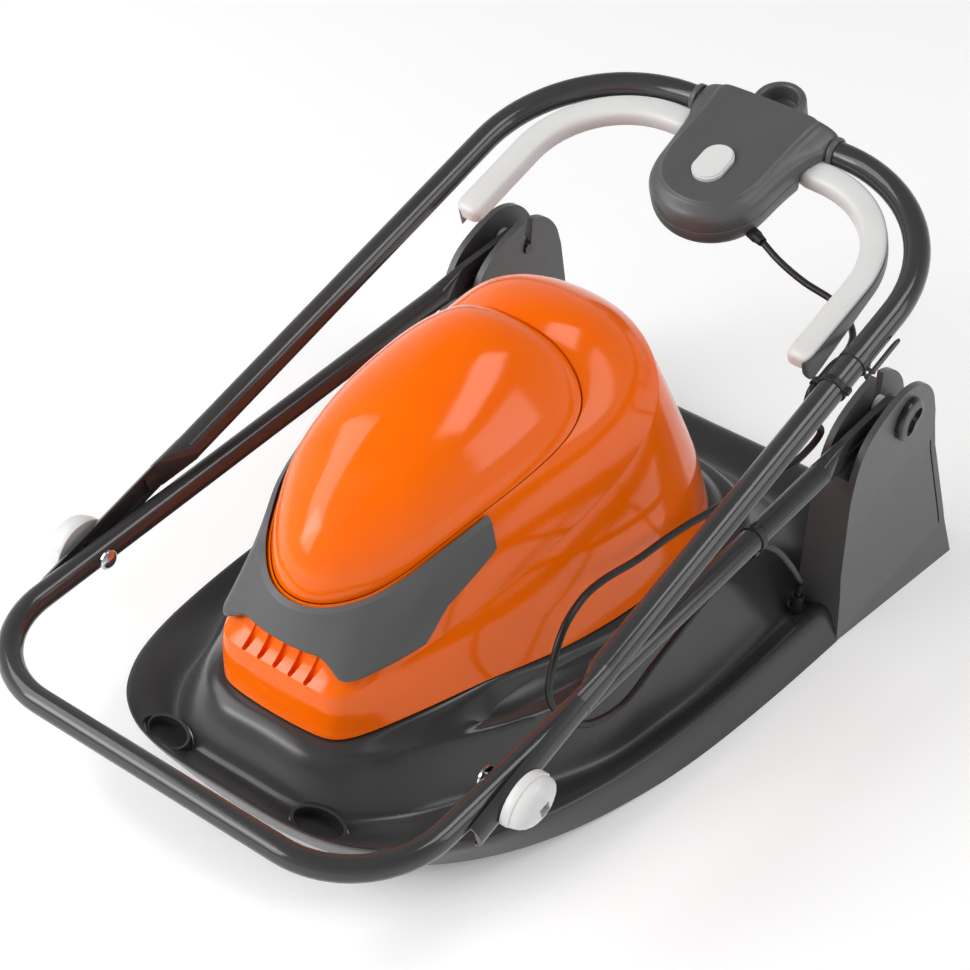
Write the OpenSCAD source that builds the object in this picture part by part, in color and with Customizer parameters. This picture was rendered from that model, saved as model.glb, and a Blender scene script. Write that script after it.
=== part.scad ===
// Folded electric hover mower: deck, motor hood, blade drive and two-stage folding handle.
// Units are millimetres, +Z is up, the front of the mower faces -Y.

/* [Deck] */
// Width of the deck over its bottom edge
deck_width = 446; // [440:1:448]
// Height of the deck plateau that carries the motor
plateau_h = 88; // [86:1:90]
// Wall thickness of the deck moulding
deck_wall = 4; // [3:0.5:4.5]
// Height of the raised rim along the sides
rim_h = 32; // [30:1:36]
// Length of each oval front cup
cup_len = 46; // [42:1:50]
// Width of each oval front cup
cup_wid = 27; // [24:1:29]

/* [Hood] */
// Height of the dome top over the ground
dome_h = 335; // [330:1:340]
// Wall thickness of the hood moulding
hood_wall = 3; // [2.5:0.5:3.5]
// Height of the bubble over its seam
bubble_h = 70; // [64:1:76]
// Wall thickness of the bubble
bubble_wall = 2.6; // [2:0.2:3]
// Thickness of the dark trim band
trim_t = 3; // [2.4:0.2:3.4]
// Number of slanted air slots on the nose
slot_count = 5; // [3:2:5]

/* [Lower handle] */
// Outside diameter of the lower handle tube
low_d = 20; // [19:0.5:20]
// Half distance between the lower arms, at the tube centre
low_half = 196; // [195:0.5:197]
// Distance from the pivot to the knob axis
arm_len = 525; // [520:1:530]
// Length of the loop ahead of the knob axis
nose_len = 140; // [136:1:146]
// Corner radius of the lower loop
low_bend = 80; // [70:1:90]
// Slope of the folded lower handle
low_tilt = 5.1; // [4.8:0.1:5.6]
// Wall thickness of both handle tubes
tube_wall = 1.5; // [1.2:0.1:2]
// Thickness of the flattened pivot ends
low_flat_t = 6; // [5:0.5:7]
// Pivot position behind the deck centre
pivot_y = 278; // [276:1:280]
// Pivot height
pivot_z = 185; // [183:1:187]

/* [Upper handle] */
// Outside diameter of the upper handle tube
up_d = 22; // [21:0.5:22.5]
// Half distance between the upper arms, at the tube centre
up_half = 204; // [204:0.5:205]
// Distance from the knob axis to the top bar
up_len = 641; // [638:1:646]
// Corner radius of the upper loop
up_bend = 130; // [126:1:132]
// Slope of the folded upper handle
up_tilt = 18.5; // [18.2:0.1:19]
// Length of the flattened end ahead of the knob axis
up_tip = 44; // [40:1:48]
// Width of the flattened front ends
up_flat_w = 25; // [23:1:27]

/* [Grip and switch] */
// Half width of the switch box at the top bar
box_half = 66; // [64:1:68]
// Height of the box over the handle plane
box_top = 22; // [21:1:25]
// Depth of the box under the handle plane
box_low = 23; // [22:1:26]
// Wall thickness of the box
box_wall = 3; // [2.5:0.5:3]
// Length of the lock-off button
btn_len = 42; // [38:1:44]
// Width of the lock-off button
btn_wid = 28; // [26:1:30]
// Clearance around the lock-off button
btn_gap = 0.5; // [0.4:0.1:0.8]
// Height of the switch bail channel
lever_h = 18; // [16:1:18]
// Depth of the switch bail channel
lever_w = 23; // [20:1:23]
// Wall thickness of the switch bail channel
lever_wall = 2.5; // [2:0.5:3]
// Drop of the switch bail under the handle plane
lever_drop = 8; // [7.5:0.5:9]
// Diameter of the rod that carries the switch bail
rod_d = 8; // [7:0.5:8]

/* [Fasteners and drive] */
// Diameter of the knob bolts
bolt_d = 8; // [7:0.5:8]
// Diameter of the pivot bolts
pivot_d = 10; // [9:0.5:10]
// Radial running clearance on bolts, pins and bearings
run_fit = 0.05; // [0.03:0.01:0.08]
// Length of a leaf-shaped knob
knob_len = 56; // [53:1:60]
// Height of a leaf-shaped knob
knob_h = 22; // [20:1:24]
// Motor shaft diameter
shaft_d = 10; // [9:0.5:10]
// Cutting length of the blade
blade_len = 326; // [310:1:328]
// Blade thickness
blade_t = 3; // [2.5:0.5:3]
// Impeller diameter
fan_d = 150; // [140:2:156]
// Cable diameter
cable_d = 6; // [5.5:0.1:6.2]

/* [Hidden] */
$fn = 48;
kx = deck_width / 446;
kz = plateau_h - 88;
mid_y = 16.7;
motor_y = 50;
gap = 0.4;
knob_y = pivot_y - arm_len * cos(low_tilt);
knob_z = pivot_z - arm_len * sin(low_tilt);
bar_u = up_len;
bend_u = up_len - up_bend;
bend_x = up_half - up_bend;
lever_r = 91;
bail_x = -4;
lever_u = bend_u + 15;
rod_u = lever_u + lever_r;
btn_u = bar_u - 77;
box_part = -2;
clip_u = 424;
low_clip_v = 200;
flat_in = low_half + low_d / 2 + 1;
flat_out = up_half + up_d / 2;
brk_in = low_half - 18;
brk_slot_in = low_half - 12;
brk_slot_out = low_half + 12;
brk_out = low_half + 18;
blade_z = 16;
fan_z = plateau_h - 44;
lead_n = -17;
spring_turns = 6;

function mix(a, b, t) = a + (b - a) * t;
function unit(v) = v / max(norm(v), 0.000001);
function flip(p) = [-p[0], p[1], p[2]];
function hor(p) = [p[0], p[1], 0];
// A smooth curve through hand-placed stations
function cr(a, b, c, d, t) = 0.5 * (2 * b + (c - a) * t + (2 * a - 5 * b + 4 * c - d) * t * t
  + (3 * b - a - 3 * c + d) * t * t * t);
function at(L, i) = i < 0 ? flip(L[-i]) : i > len(L) - 1 ? flip(L[2 * (len(L) - 1) - i]) : L[i];
function rail(L, s) = let(q = s * (len(L) - 1), i = min(floor(q), len(L) - 2))
  cr(at(L, i - 1), at(L, i), at(L, i + 1), at(L, i + 2), q - i);
function around(L, m) = [for (i = [0 : 2 * m - 1])
  i <= m ? rail(L, i / m) : flip(rail(L, (2 * m - i) / m))];
function end_at(L, i) = i < 0 ? 2 * L[0] - L[1] : i > len(L) - 1 ? 2 * L[len(L) - 1] - L[len(L) - 2]
  : L[i];
function path(L, n) = [for (k = [0 : (len(L) - 1) * n]) let(i = min(floor(k / n), len(L) - 2))
  cr(end_at(L, i - 1), end_at(L, i), end_at(L, i + 1), end_at(L, i + 2), k / n - i)];
// Handle frames: across, along the arm, square to the arm plane
function on_upper(p) = [p[0], knob_y + p[1] * cos(up_tilt) - p[2] * sin(up_tilt),
  knob_z + p[1] * sin(up_tilt) + p[2] * cos(up_tilt)];
function on_lower(p) = [p[0], pivot_y - p[1] * cos(low_tilt) - p[2] * sin(low_tilt),
  pivot_z - p[1] * sin(low_tilt) + p[2] * cos(low_tilt)];
function tangent(P, i) = unit(P[min(i + 1, len(P) - 1)] - P[max(i - 1, 0)]);
function tube_rings(P, r, ref, n) = [for (i = [0 : len(P) - 1])
  let(t = tangent(P, i), a = unit(cross(t, ref)),
  b = cross(a, t)) [for (j = [0 : n - 1]) P[i] + r * (a * cos(360 * j / n) + b * sin(360 * j / n))]];

// The frame origin lies under the middle of the whole outline
module place() {
  translate([0, -mid_y, 0]) children();
}

module upper_frame() {
  translate([0, knob_y, knob_z]) rotate([up_tilt, 0, 0]) children();
}

module lower_frame() {
  translate([0, pivot_y, pivot_z]) rotate([low_tilt, 0, 0]) children();
}

module both_x() {
  children();
  mirror([1, 0, 0]) children();
}

// Rings joined to a closed skin; loop joins the last ring to the first one
module skin(rings, loop = false) {
  m = len(rings[0]);
  k = len(rings);
  top = loop ? k - 1 : k - 2;
  pts = [for (r = rings) for (p = r) p];
  mid_a = [for (i = [0 : m - 1]) 1 / m] * rings[0];
  mid_b = [for (i = [0 : m - 1]) 1 / m] * rings[k - 1];
  sides = [for (a = [0 : top]) for (i = [0 : m - 1]) let(b = (a + 1) % k, j = (i + 1) % m)
    each [[a * m + i, a * m + j, b * m + j], [a * m + i, b * m + j, b * m + i]]];
  caps = loop ? [] : [for (i = [0 : m - 1]) let(j = (i + 1) % m)
    each [[k * m, j, i], [k * m + 1, (k - 1) * m + i, (k - 1) * m + j]]];
  polyhedron(loop ? pts : concat(pts, [mid_a, mid_b]), concat(sides, caps), convexity = 8);
}

// Deck stations run from the nose along the right side to the rear
plateau_line = [for (p = [[0, -274, 93], [50, -271, 93], [80, -242, 94], [105, -184, 91], [138, -133, 88],
  [160, -62, 87], [162, 0, 88], [158, 50, 88], [152, 130, 87], [136, 178, 86], [106, 214, 85],
  [56, 236, 84],
  [0, 240, 84]]) [p[0] * kx, p[1], p[2] + kz]];
valley_line = [for (p = [[0, -290, 54], [70, -284, 53], [108, -242, 48], [133, -187, 40], [160, -130, 30],
  [177, -70, 24], [182, -10, 21], [186, 50, 20], [184, 140, 20], [176, 200, 22], [154, 246, 34],
  [112, 272, 42],
  [0, 280, 44]]) [p[0] * kx, p[1], p[2]]];
crest_line = [for (p = [[0, -322, 37], [75, -318, 35], [122, -298, 32], [156, -259, 25], [178, -205, 17],
  [194, -130, 9], [203, -50, 4], [207, 50, 1], [208, 150, 0], [208, 230, 0], [204, 322, 6],
  [150, 342, 13],
  [0, 344, 14]]) [p[0] * kx, p[1], p[2] + rim_h]];
edge_line = [for (p = [[0, -293, 22], [80, -282, 20], [130, -247, 15], [165, -195, 9], [190, -131, 4],
  [207, -57, 1], [216, 10, 0], [221, 90, 0], [223, 170, 0], [223, 240, 0], [219, 334, 0], [155, 352, 0],
  [0, 352, 0]]) [p[0] * kx, p[1], max(p[2], 0)]];
hole_line = [for (i = [0 : 12]) [60 * sin(15 * i), motor_y - 60 * cos(15 * i), plateau_h]];

function band(A, B, t, dz, inward) = [for (i = [0 : len(A) - 1]) let(p = mix(A[i], B[i], t),
  c = hor(p) - [0, motor_y, 0]) p - unit(c) * inward + [0, 0, dz]];

module deck_rings() {
  m = 48;
  H = around(hole_line, m);
  Q = around([for (p = base_line) [p[0] * kx, p[1], p[2] + kz - 0.9]], m);
  P = around(plateau_line, m);
  V = around(valley_line, m);
  C = around(crest_line, m);
  B = around(edge_line, m);
  w = deck_wall;
  skin([band(H, H, 0, 0, 0), band(H, Q, 0.3, -5, 0), band(Q, Q, 0, 0, 9), band(Q, Q, 0, 0, -5),
    band(P, P, 0, 0.5, 3),
    band(P, P, 0, -1, 0),
    band(P, V, 0.14, 2, 0), band(P, V, 0.55, 1, 0), band(P, V, 0.86, -1, 0), band(P, V, 1, 0, 0),
    band(V, C, 0.42, 0, 0), band(V, C, 0.7, 0.5, 0), band(V, C, 1, 0, 0), band(C, B, 0.35, 0.5, -1.5),
    band(C, B, 0.7, -1, -0.5), band(B, B, 0, 0, 0), band(B, B, 0, 0, w), band(C, B, 0.6, -3, w),
    band(C, C, 0, -w - 1, w / 2), band(V, V, 0, -w, w / 2), band(P, V, 0.55, -w / 2, w),
    band(P, P, 0, -w, w), band(Q, Q, 0, -w, 8),
    band(H, Q, 0.3, -w - 5, 0), band(H, H, 0, -w, 0)], loop = true);
}

cup_x = 75;
cup_y = -296;
cup_z = 59;

module cup_place(s) {
  translate([s * cup_x, cup_y, cup_z]) rotate([16, s * 4, s * 12]) children();
}

function oval(a, b) = [for (i = [0 : 47]) [a / 2 * cos(7.5 * i), b / 2 * sin(7.5 * i)]];

// An oval plug with a sloping floor that stays behind the front wall
module cup_core(grow, floor_at, h) {
  intersection() {
    translate([0, 0, -30]) linear_extrude(30 + h) polygon(oval(cup_len + grow, cup_wid + grow));
    rotate([-32, 0, 0]) translate([-50, -50, floor_at]) cube([100, 100, 90]);
  }
}

module deck_shell() {
  color("#303032") place() difference() {
    deck_rings();
    for (s = [-1, 1]) cup_place(s) cup_core(1.7, -7.3, 40);
    for (s = [-1, 1]) translate([s * (brk_in + 39.4) - 40, 199.4, -1]) cube([80, 190, 130]);
    translate([0, 0, -30]) cube([800, 900, 60], center = true);
  }
}

module front_cup(s) {
  cup_place(s) difference() {
    cup_core(0, -6.6, 2);
    cup_core(-5, -4.8, 20);
  }
}

module front_cup_left() {
  color("#303032") place() front_cup(-1);
}

module front_cup_right() {
  color("#303032") place() front_cup(1);
}

// Hood stations: base line, flank ridge, shoulder crease and bubble seam
base_line = [[0, -262, 100], [36, -260, 100], [60, -253, 101], [80, -215, 107], [95, -176, 111],
  [109, -130, 113],
  [122, -72, 106], [130, 20, 97], [127, 95, 96], [112, 150, 96], [86, 192, 95], [46, 214, 95],
  [0, 222, 95]];
ridge_line = [[0, -261, 119], [35, -260, 119], [61, -254, 120], [77, -216, 126], [90, -178, 131],
  [102, -127, 138],
  [114, -68, 143], [121, 18, 149], [121, 76, 154], [109, 127, 158], [86, 160, 162], [46, 181, 165],
  [0, 188, 166]];
crease_line = [[0, -259, 142], [34, -259, 142], [60, -254, 143], [71, -215, 150], [81, -178, 160],
  [91, -121, 172],
  [100, -61, 187], [105, 14, 210], [103, 54, 230], [95, 83, 250], [78, 97, 274], [45, 110, 290],
  [0, 117, 293]];
seam_line = [[0, -240, 198], [24, -233, 200], [46, -213, 208], [61, -189, 221], [71, -164, 235],
  [79, -128, 247],
  [85, -80, 257], [85, -30, 265], [78, 0, 276], [64, 13, 291], [44, 15, 308], [22, 11, 319], [0, 8, 323]];
bulge = [0, 0, 0, 1, 2, 3, 4, 5, 7, 9, 10, 11, 11];
bubble_c = [0, -100, 250];
bubble_n = [0, -0.45, 0.89];
dome_k = dome_h - 335 - kz;

function hood_band(A, B, t, dz, inward, k = 0) = [for (i = [0 : len(A) - 1]) let(p = mix(A[i], B[i], t),
  m = len(A) / 2, s = i <= m ? i / m : 2 - i / m, q = s * 12, j = min(floor(q), 11),
  g = mix(bulge[j], bulge[j + 1], q - j), c = hor(p) - [0, p[1] < -60 ? -60 : min(p[1], 40), 0])
  p - unit(c) * inward + [0, 0, dz + k * (5 * t * (1 - t) * g + dome_k * g / 11 * t)]];

module hood_rings() {
  m = 44;
  B = around(base_line, m);
  R = around(ridge_line, m);
  C = around(crease_line, m);
  S = around(seam_line, m);
  w = hood_wall;
  mid = [for (p = S) bubble_c];
  skin([hood_band(S, mid, 0.9, -24, 0), hood_band(S, mid, 0.5, -17, 0), hood_band(S, mid, 0.09, -9, 0),
    hood_band(S, S, 0, -5, 2), hood_band(C, S, 0.98, 0, 0, 1), hood_band(C, S, 0.72, 0, -1.5, 1),
    hood_band(C, S, 0.4, 0, -1.5, 1), hood_band(C, S, 0.12, 0, -0.5, 1), hood_band(C, S, 0, -2, -0.5),
    hood_band(R, C, 0.9, 0, 0.6), hood_band(R, C, 0.5, 0, -2), hood_band(R, C, 0.05, 0, -1),
    hood_band(B, R, 0.85, 0, -0.2), hood_band(B, R, 0.15, 0, 0),
    hood_band(B, R, 0, 0, -2), hood_band(B, R, 0, 0, w), hood_band(B, R, 0.95, 0, w),
    hood_band(R, C, 0.9, -1, w + 1),
    hood_band(C, S, 0.4, -w, w), hood_band(C, S, 0.92, -w - 3, w + 2), hood_band(S, mid, 0.5, -17 - w, 0),
    hood_band(S, mid, 0.9, -24 - w, 0)]);
}

// The hood, its bubble and its trim stand on the plateau
module hood_place() {
  translate([0, -mid_y, kz]) children();
}

module motor_hood() {
  color("#f05a00") hood_place() difference() {
    hood_rings();
    for (i = [0 : slot_count - 1]) translate([(i - (slot_count - 1) / 2) * 15, -258, 148])
      rotate([-19, 0, 0]) rotate([90, 0, 0]) translate([0, 0, -2.6]) linear_extrude(20)
      polygon([[-4, -5], [-2, -6.5], [0, -5], [7.5, 18], [-1, 18]]);
  }
}

module front_bubble() {
  m = 36;
  S = around([for (p = seam_line) mix(p, bubble_c, 0.012) + [0, 0, -2]], m);
  w = bubble_wall;
  outer = [for (f = [84, 70, 56, 43, 30, 18, 8, 0]) [for (p = S) bubble_c + (p - bubble_c) * cos(f)
    + bubble_n * bubble_h * sin(f)]];
  inner = [for (f = [0, 10, 28, 50, 84]) [for (p = S) let(d = p - bubble_c) bubble_c
    + d * (1 - w / norm(d)) * cos(f) + bubble_n * (bubble_h - w) * sin(f)]];
  color("#f26a10") hood_place() skin(concat(outer, inner));
}

// Dark band under the front half of the bubble, notched over the air slots
trim_drop = [[0, 0.54], [1.05, 0.55], [1.3, 0.6], [1.8, 0.77], [2.1, 0.8], [3, 0.86], [3.85, 0.88],
  [4.2, 0.64], [4.6, 0.55], [5, 0.46], [5.2, 0.4]];

module front_trim() {
  m = 44;
  B = around(crease_line, m);
  S = around(seam_line, m);
  last = 19;
  col = [for (k = [-last : last]) let(i = (k + 2 * m) % (2 * m), drop = lookup(abs(k) / m * 12, trim_drop),
    e = S[(i + 1) % (2 * m)] - S[(i + 2 * m - 1) % (2 * m)],
    n = unit(cross(B[i] - S[i], e)), a = mix(S[i], B[i], 0.03), b = mix(S[i], B[i], 0.03 + drop))
    [a + n * (2.6 + trim_t), a + n * 2.6, mix(a, b, 0.5) + n * 2.6, b + n * 2.6, b + n * (2.6 + trim_t),
     mix(a, b, 0.5) + n * (2.8 + trim_t)]];
  color("#55565a") hood_place() skin(col);
}

// Clevis brackets on the rear corners
side_form = concat([[200, 0], [374, 0], [362, 46]], path([[331, 166], [320, 190], [300, 208], [272, 214],
  [243, 206], [219, 192], [206, 171], [200, 137]], 4));

function flare(y, low, mid) = [[brk_in - 5, y, -5], [brk_out + low, y, -5], [brk_out + mid, y, 46],
  [brk_out, y, 150], [brk_out, y, 240], [brk_in - 5, y, 240]];

module bracket(s) {
  mirror([s < 0 ? 1 : 0, 0, 0]) difference() {
    intersection() {
      translate([brk_in, 0, 0]) rotate([90, 0, 90]) linear_extrude(70) polygon(side_form);
      skin([flare(160, 7.2, 3.4), flare(400, 21.5, 13)]);
    }
    translate([brk_slot_in, 190, pivot_z - 27]) cube([brk_slot_out - brk_slot_in, 200, 80]);
    translate([brk_in - 1, pivot_y - 5.5, pivot_z]) cube([brk_slot_in - brk_in + 2, 11, 60]);
    translate([brk_in - 1, pivot_y, pivot_z]) rotate([0, 90, 0]) cylinder(d = pivot_d + 0.6, h = 60);
    translate([brk_in + 5, 0, 0]) rotate([90, 0, 90]) linear_extrude(26)
      polygon([[206, -1], [362, -1], [354, 46], [332, 140], [207, 140]]);
    translate([brk_out - 1.5, 366, 40]) rotate([14, 0, 0]) translate([0, -12, 0]) cube([40, 2, 100]);
  }
}

module bracket_left() {
  color("#505154") place() bracket(-1);
}

module bracket_right() {
  color("#505154") place() bracket(1);
}

module pivot_bolt(s) {
  mirror([s < 0 ? 1 : 0, 0, 0]) translate([0, pivot_y, pivot_z]) rotate([0, 90, 0]) difference() {
    union() {
      translate([0, 0, brk_in - 2]) cylinder(d = pivot_d, h = 22 + brk_out - brk_in);
      translate([0, 0, brk_out + gap]) cylinder(d = 38, h = 4.4);
      translate([0, 0, brk_out + gap + 4.4]) cylinder(d1 = 38, d2 = 34, h = 1.4);
    }
    translate([0, 0, brk_out + 9]) cube([26, 7, 8], center = true);
    translate([0, 0, brk_out + 9]) cube([7, 26, 8], center = true);
    translate([0, 0, brk_out + 6.2]) cylinder(d = 60, h = 40);
  }
}

module pivot_bolt_left() {
  color("#48494c") place() pivot_bolt(-1);
}

module pivot_bolt_right() {
  color("#48494c") place() pivot_bolt(1);
}

module pivot_bush(s) {
  face = low_half - low_flat_t / 2;
  mirror([s < 0 ? 1 : 0, 0, 0]) translate([0, pivot_y, pivot_z]) rotate([0, 90, 0]) difference() {
    union() {
      translate([0, 0, brk_slot_in + gap]) cylinder(d = 18, h = face - brk_slot_in - gap - 0.05);
      translate([0, 0, face + low_flat_t + 0.05])
        cylinder(d = 18, h = brk_slot_out - gap - face - low_flat_t - 0.05);
    }
    translate([0, 0, brk_in]) cylinder(d = pivot_d + 2 * run_fit, h = 60);
  }
}

module pivot_bush_left() {
  color("#d8d8d4") place() pivot_bush(-1);
}

module pivot_bush_right() {
  color("#d8d8d4") place() pivot_bush(1);
}

// Motor, shaft and cutting gear on one vertical axis
module drive() {
  translate([0, motor_y, 0]) children();
}

module motor_mount() {
  color("#8a8c90") place() drive() difference() {
    union() {
      translate([0, 0, plateau_h + 1]) cylinder(r = 74, h = 5);
      translate([0, 0, plateau_h - 6]) cylinder(r = 19, h = 12);
      for (a = [45 : 90 : 315]) rotate([0, 0, a]) translate([66, 0, plateau_h + 5.9])
        cylinder(d = 10, h = 4, $fn = 24);
    }
    translate([0, 0, plateau_h - 7]) cylinder(r = 9, h = 20);
    translate([0, 0, plateau_h - 4]) cylinder(r = 14 + run_fit, h = 20);
    for (a = [0 : 60 : 300]) rotate([0, 0, a]) translate([40, 0, plateau_h - 1])
      cylinder(d = 20, h = 20, $fn = 24);
  }
}

module bearing_lower() {
  color("#c8cacc") place() drive() translate([0, 0, plateau_h - 4]) difference() {
    cylinder(r = 14, h = 9);
    translate([0, 0, -1]) cylinder(d = shaft_d + 2 * run_fit, h = 11);
  }
}

module motor_can() {
  z0 = plateau_h + 6.4;
  color("#777a7e") place() drive() difference() {
    translate([0, 0, z0]) cylinder(r = 46, h = 112);
    translate([0, 0, z0 - 1]) cylinder(r = 42, h = 96);
    translate([0, 0, z0 + 94]) cylinder(r = 8, h = 30);
    translate([0, 0, z0 + 100]) cylinder(r = 13 + run_fit, h = 30);
    for (a = [0 : 45 : 315]) rotate([0, 0, a]) translate([26, 0, z0 + 90])
      cylinder(d = 9, h = 40, $fn = 24);
  }
}

module bearing_upper() {
  color("#c8cacc") place() drive() translate([0, 0, plateau_h + 106.4]) difference() {
    cylinder(r = 13, h = 8);
    translate([0, 0, -1]) cylinder(d = shaft_d + 2 * run_fit, h = 11);
  }
}

module armature() {
  z0 = plateau_h + 20;
  color("#8c5a2b") place() drive() difference() {
    union() {
      difference() {
        translate([0, 0, z0]) cylinder(r = 38, h = 58);
        for (a = [0 : 30 : 330]) rotate([0, 0, a]) translate([37, -2, z0 - 1]) cube([4, 4, 60]);
      }
      translate([0, 0, z0 + 57]) cylinder(r = 17, h = 20);
    }
    translate([0, 0, z0 - 1]) cylinder(d = shaft_d + 0.04, h = 90);
  }
}

module motor_shaft() {
  color("#b8babd") place() drive() translate([0, 0, blade_z - 2])
    cylinder(d = shaft_d, h = plateau_h + 98);
}

module impeller() {
  color("#3a3b3e") place() drive() difference() {
    union() {
      translate([0, 0, fan_z]) cylinder(r = 15, h = 32);
      translate([0, 0, fan_z + 8]) cylinder(d = fan_d, h = 3);
      for (a = [0 : 30 : 330]) rotate([0, 0, a]) translate([14, -1.2, fan_z + 10.5])
        cube([fan_d / 2 - 16, 2.4, 20]);
    }
    translate([0, 0, fan_z - 4]) cylinder(d = shaft_d + 0.04, h = 50);
  }
}

module blade_spacer() {
  color("#d8702a") place() drive() difference() {
    union() {
      translate([0, 0, blade_z + blade_t + 0.05]) cylinder(r = 13, h = fan_z - 0.1 - blade_z - blade_t);
      translate([0, 0, blade_z + blade_t + 0.05]) cylinder(r = 24, h = 6);
    }
    cylinder(d = shaft_d + 0.04, h = fan_z + 16);
  }
}

module blade() {
  color("#a9acb0") place() drive() difference() {
    union() {
      translate([-blade_len / 2 + 34, -22, blade_z]) cube([blade_len - 68, 44, blade_t]);
      for (s = [0, 180]) rotate([0, 0, s]) translate([blade_len / 2 - 34.2, 0, blade_z])
        linear_extrude(blade_t)
        polygon([[0, -22], [24, -22], [30, -16], [30, 14], [20, 22], [0, 22]]);
      for (s = [0, 180]) rotate([0, 0, s]) translate([blade_len / 2 - 60, 15, blade_z + 0.2])
        rotate([28, 0, 0])
        cube([50, 14, blade_t - 0.4]);
    }
    translate([0, 0, blade_z - 1]) cylinder(d = shaft_d + 0.04, h = 12);
  }
}

module blade_bolt() {
  color("#9a9da1") place() drive() difference() {
    union() {
      translate([0, 0, blade_z - 6]) cylinder(r = 11, h = 5.9);
      translate([0, 0, blade_z - 11]) cylinder(r = 8.5, h = 6, $fn = 6);
    }
    translate([0, 0, blade_z - 2.05]) cylinder(d = shaft_d + 0.04, h = 6);
  }
}

gland_at = [188, 184, 27];

module deck_gland() {
  color("#2a2a2c") place() translate(gland_at) difference() {
    union() {
      cylinder(d = 16, h = 4, $fn = 32);
      cylinder(d = 11, h = 14, $fn = 32);
    }
    translate([0, 0, 8]) cylinder(d = cable_d + 1.2, h = 10, $fn = 32);
  }
}

// Lower handle: a plain loop with flattened ends in the brackets
low_flat_v = 72;
low_round_v = 104;

module low_loop(r) {
  y_bend = -(arm_len + nose_len - low_bend);
  for (s = [-1, 1]) translate([s * low_half, -low_round_v, 0]) rotate([90, 0, 0])
    cylinder(r = r, h = -y_bend - low_round_v);
  translate([-low_half + low_bend, y_bend - low_bend, 0]) rotate([0, 90, 0])
    cylinder(r = r, h = 2 * (low_half - low_bend));
  translate([low_half - low_bend, y_bend, 0]) rotate([0, 0, 270]) rotate_extrude(angle = 90)
    translate([low_bend, 0]) circle(r = r, $fn = 32);
  translate([-low_half + low_bend, y_bend, 0]) rotate([0, 0, 180]) rotate_extrude(angle = 90)
    translate([low_bend, 0]) circle(r = r, $fn = 32);
}

module low_flat(s) {
  w = low_d * 1.35;
  translate([s * low_half, 0, 0]) {
    hull() {
      translate([0, -low_round_v - 0.2, 0]) rotate([90, 0, 0])
        cylinder(d = low_d + 0.5, h = 0.2, $fn = 32);
      translate([-low_flat_t / 2, -low_flat_v, -w / 2]) cube([low_flat_t, 0.2, w]);
    }
    difference() {
      translate([-low_flat_t / 2, 0, 0]) rotate([90, 0, 90]) linear_extrude(low_flat_t) union() {
        translate([-low_flat_v, -w / 2]) square([low_flat_v, w]);
        circle(d = w);
      }
      for (q = [-1, 1]) translate([q * (low_flat_t / 2), -low_flat_v / 2 - 8, 0])
        cube([3, low_flat_v - 28, 8], center = true);
    }
  }
}

module lower_tube() {
  color("#47484b") place() lower_frame() difference() {
    union() {
      difference() {
        low_loop(low_d / 2);
        low_loop(low_d / 2 - tube_wall);
      }
      for (s = [-1, 1]) low_flat(s);
    }
    translate([-300, 0, 0]) rotate([0, 90, 0]) cylinder(d = pivot_d + 2 * run_fit, h = 600);
    translate([-300, -arm_len, 0]) rotate([0, 90, 0]) cylinder(d = bolt_d + 2 * run_fit, h = 600);
  }
}

module knob_bolt(s) {
  face = low_half - low_d / 2;
  mirror([s < 0 ? 1 : 0, 0, 0]) translate([0, knob_y, knob_z]) rotate([0, 90, 0]) {
    translate([0, 0, face - 1]) cylinder(d = bolt_d, h = flat_out + 15 - face);
    intersection() {
      translate([0, 0, face - 5.6]) cylinder(d = 17, h = 5.5);
      translate([0, 0, face + 5]) sphere(r = 11, $fn = 48);
    }
  }
}

module knob_bolt_left() {
  color("#d0d2d4") place() knob_bolt(-1);
}

module knob_bolt_right() {
  color("#d0d2d4") place() knob_bolt(1);
}

// Strap clips: a band round the tube with an eye for the cable
module strap(r, eye) {
  c = cable_d / 2;
  linear_extrude(6, center = true) difference() {
    union() {
      circle(r = r + 1.4);
      translate(eye) circle(r = c + 2.2);
      translate(-0.9 * eye) square([4.4, 4.4], center = true);
    }
    circle(r = r + 0.1);
    translate(eye) circle(r = c + 0.5);
  }
}

low_eye = [0, -(low_d / 2 + cable_d / 2 + 1)];
up_eye = [-(up_d / 2 + cable_d / 2 + 1), -4];

module lower_clip() {
  color("#232325") place() lower_frame() translate([low_half, -low_clip_v, 0]) rotate([90, 0, 0])
    strap(low_d / 2, low_eye);
}

module upper_clip() {
  color("#232325") place() upper_frame() translate([up_half, clip_u, 0]) rotate([90, 0, 0])
    strap(up_d / 2, up_eye);
}

// Upper handle: a loop whose flattened ends lie outside the lower arms
up_flat_u = 84;
up_round_u = 116;

module up_loop(r) {
  for (s = [-1, 1]) translate([s * up_half, bend_u, 0]) rotate([90, 0, 0])
    cylinder(r = r, h = bend_u - up_round_u);
  translate([-bend_x, bar_u, 0]) rotate([0, 90, 0]) cylinder(r = r, h = 2 * bend_x);
  translate([bend_x, bend_u, 0]) rotate_extrude(angle = 90) translate([up_bend, 0])
    circle(r = r, $fn = 32);
  translate([-bend_x, bend_u, 0]) rotate([0, 0, 90]) rotate_extrude(angle = 90) translate([up_bend, 0])
    circle(r = r, $fn = 32);
}

module flat_bar(e, u0, u1) {
  t = flat_out - flat_in;
  r = (up_flat_w * up_flat_w / 4 + t * t) / (2 * t);
  translate([0, u1, 0]) rotate([90, 0, 0]) intersection() {
    translate([flat_out - r, 0, 0]) cylinder(r = r + e, h = u1 - u0, $fn = 48);
    translate([flat_in - e, -40, -1]) cube([40, 80, u1 - u0 + 2]);
  }
}

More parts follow.
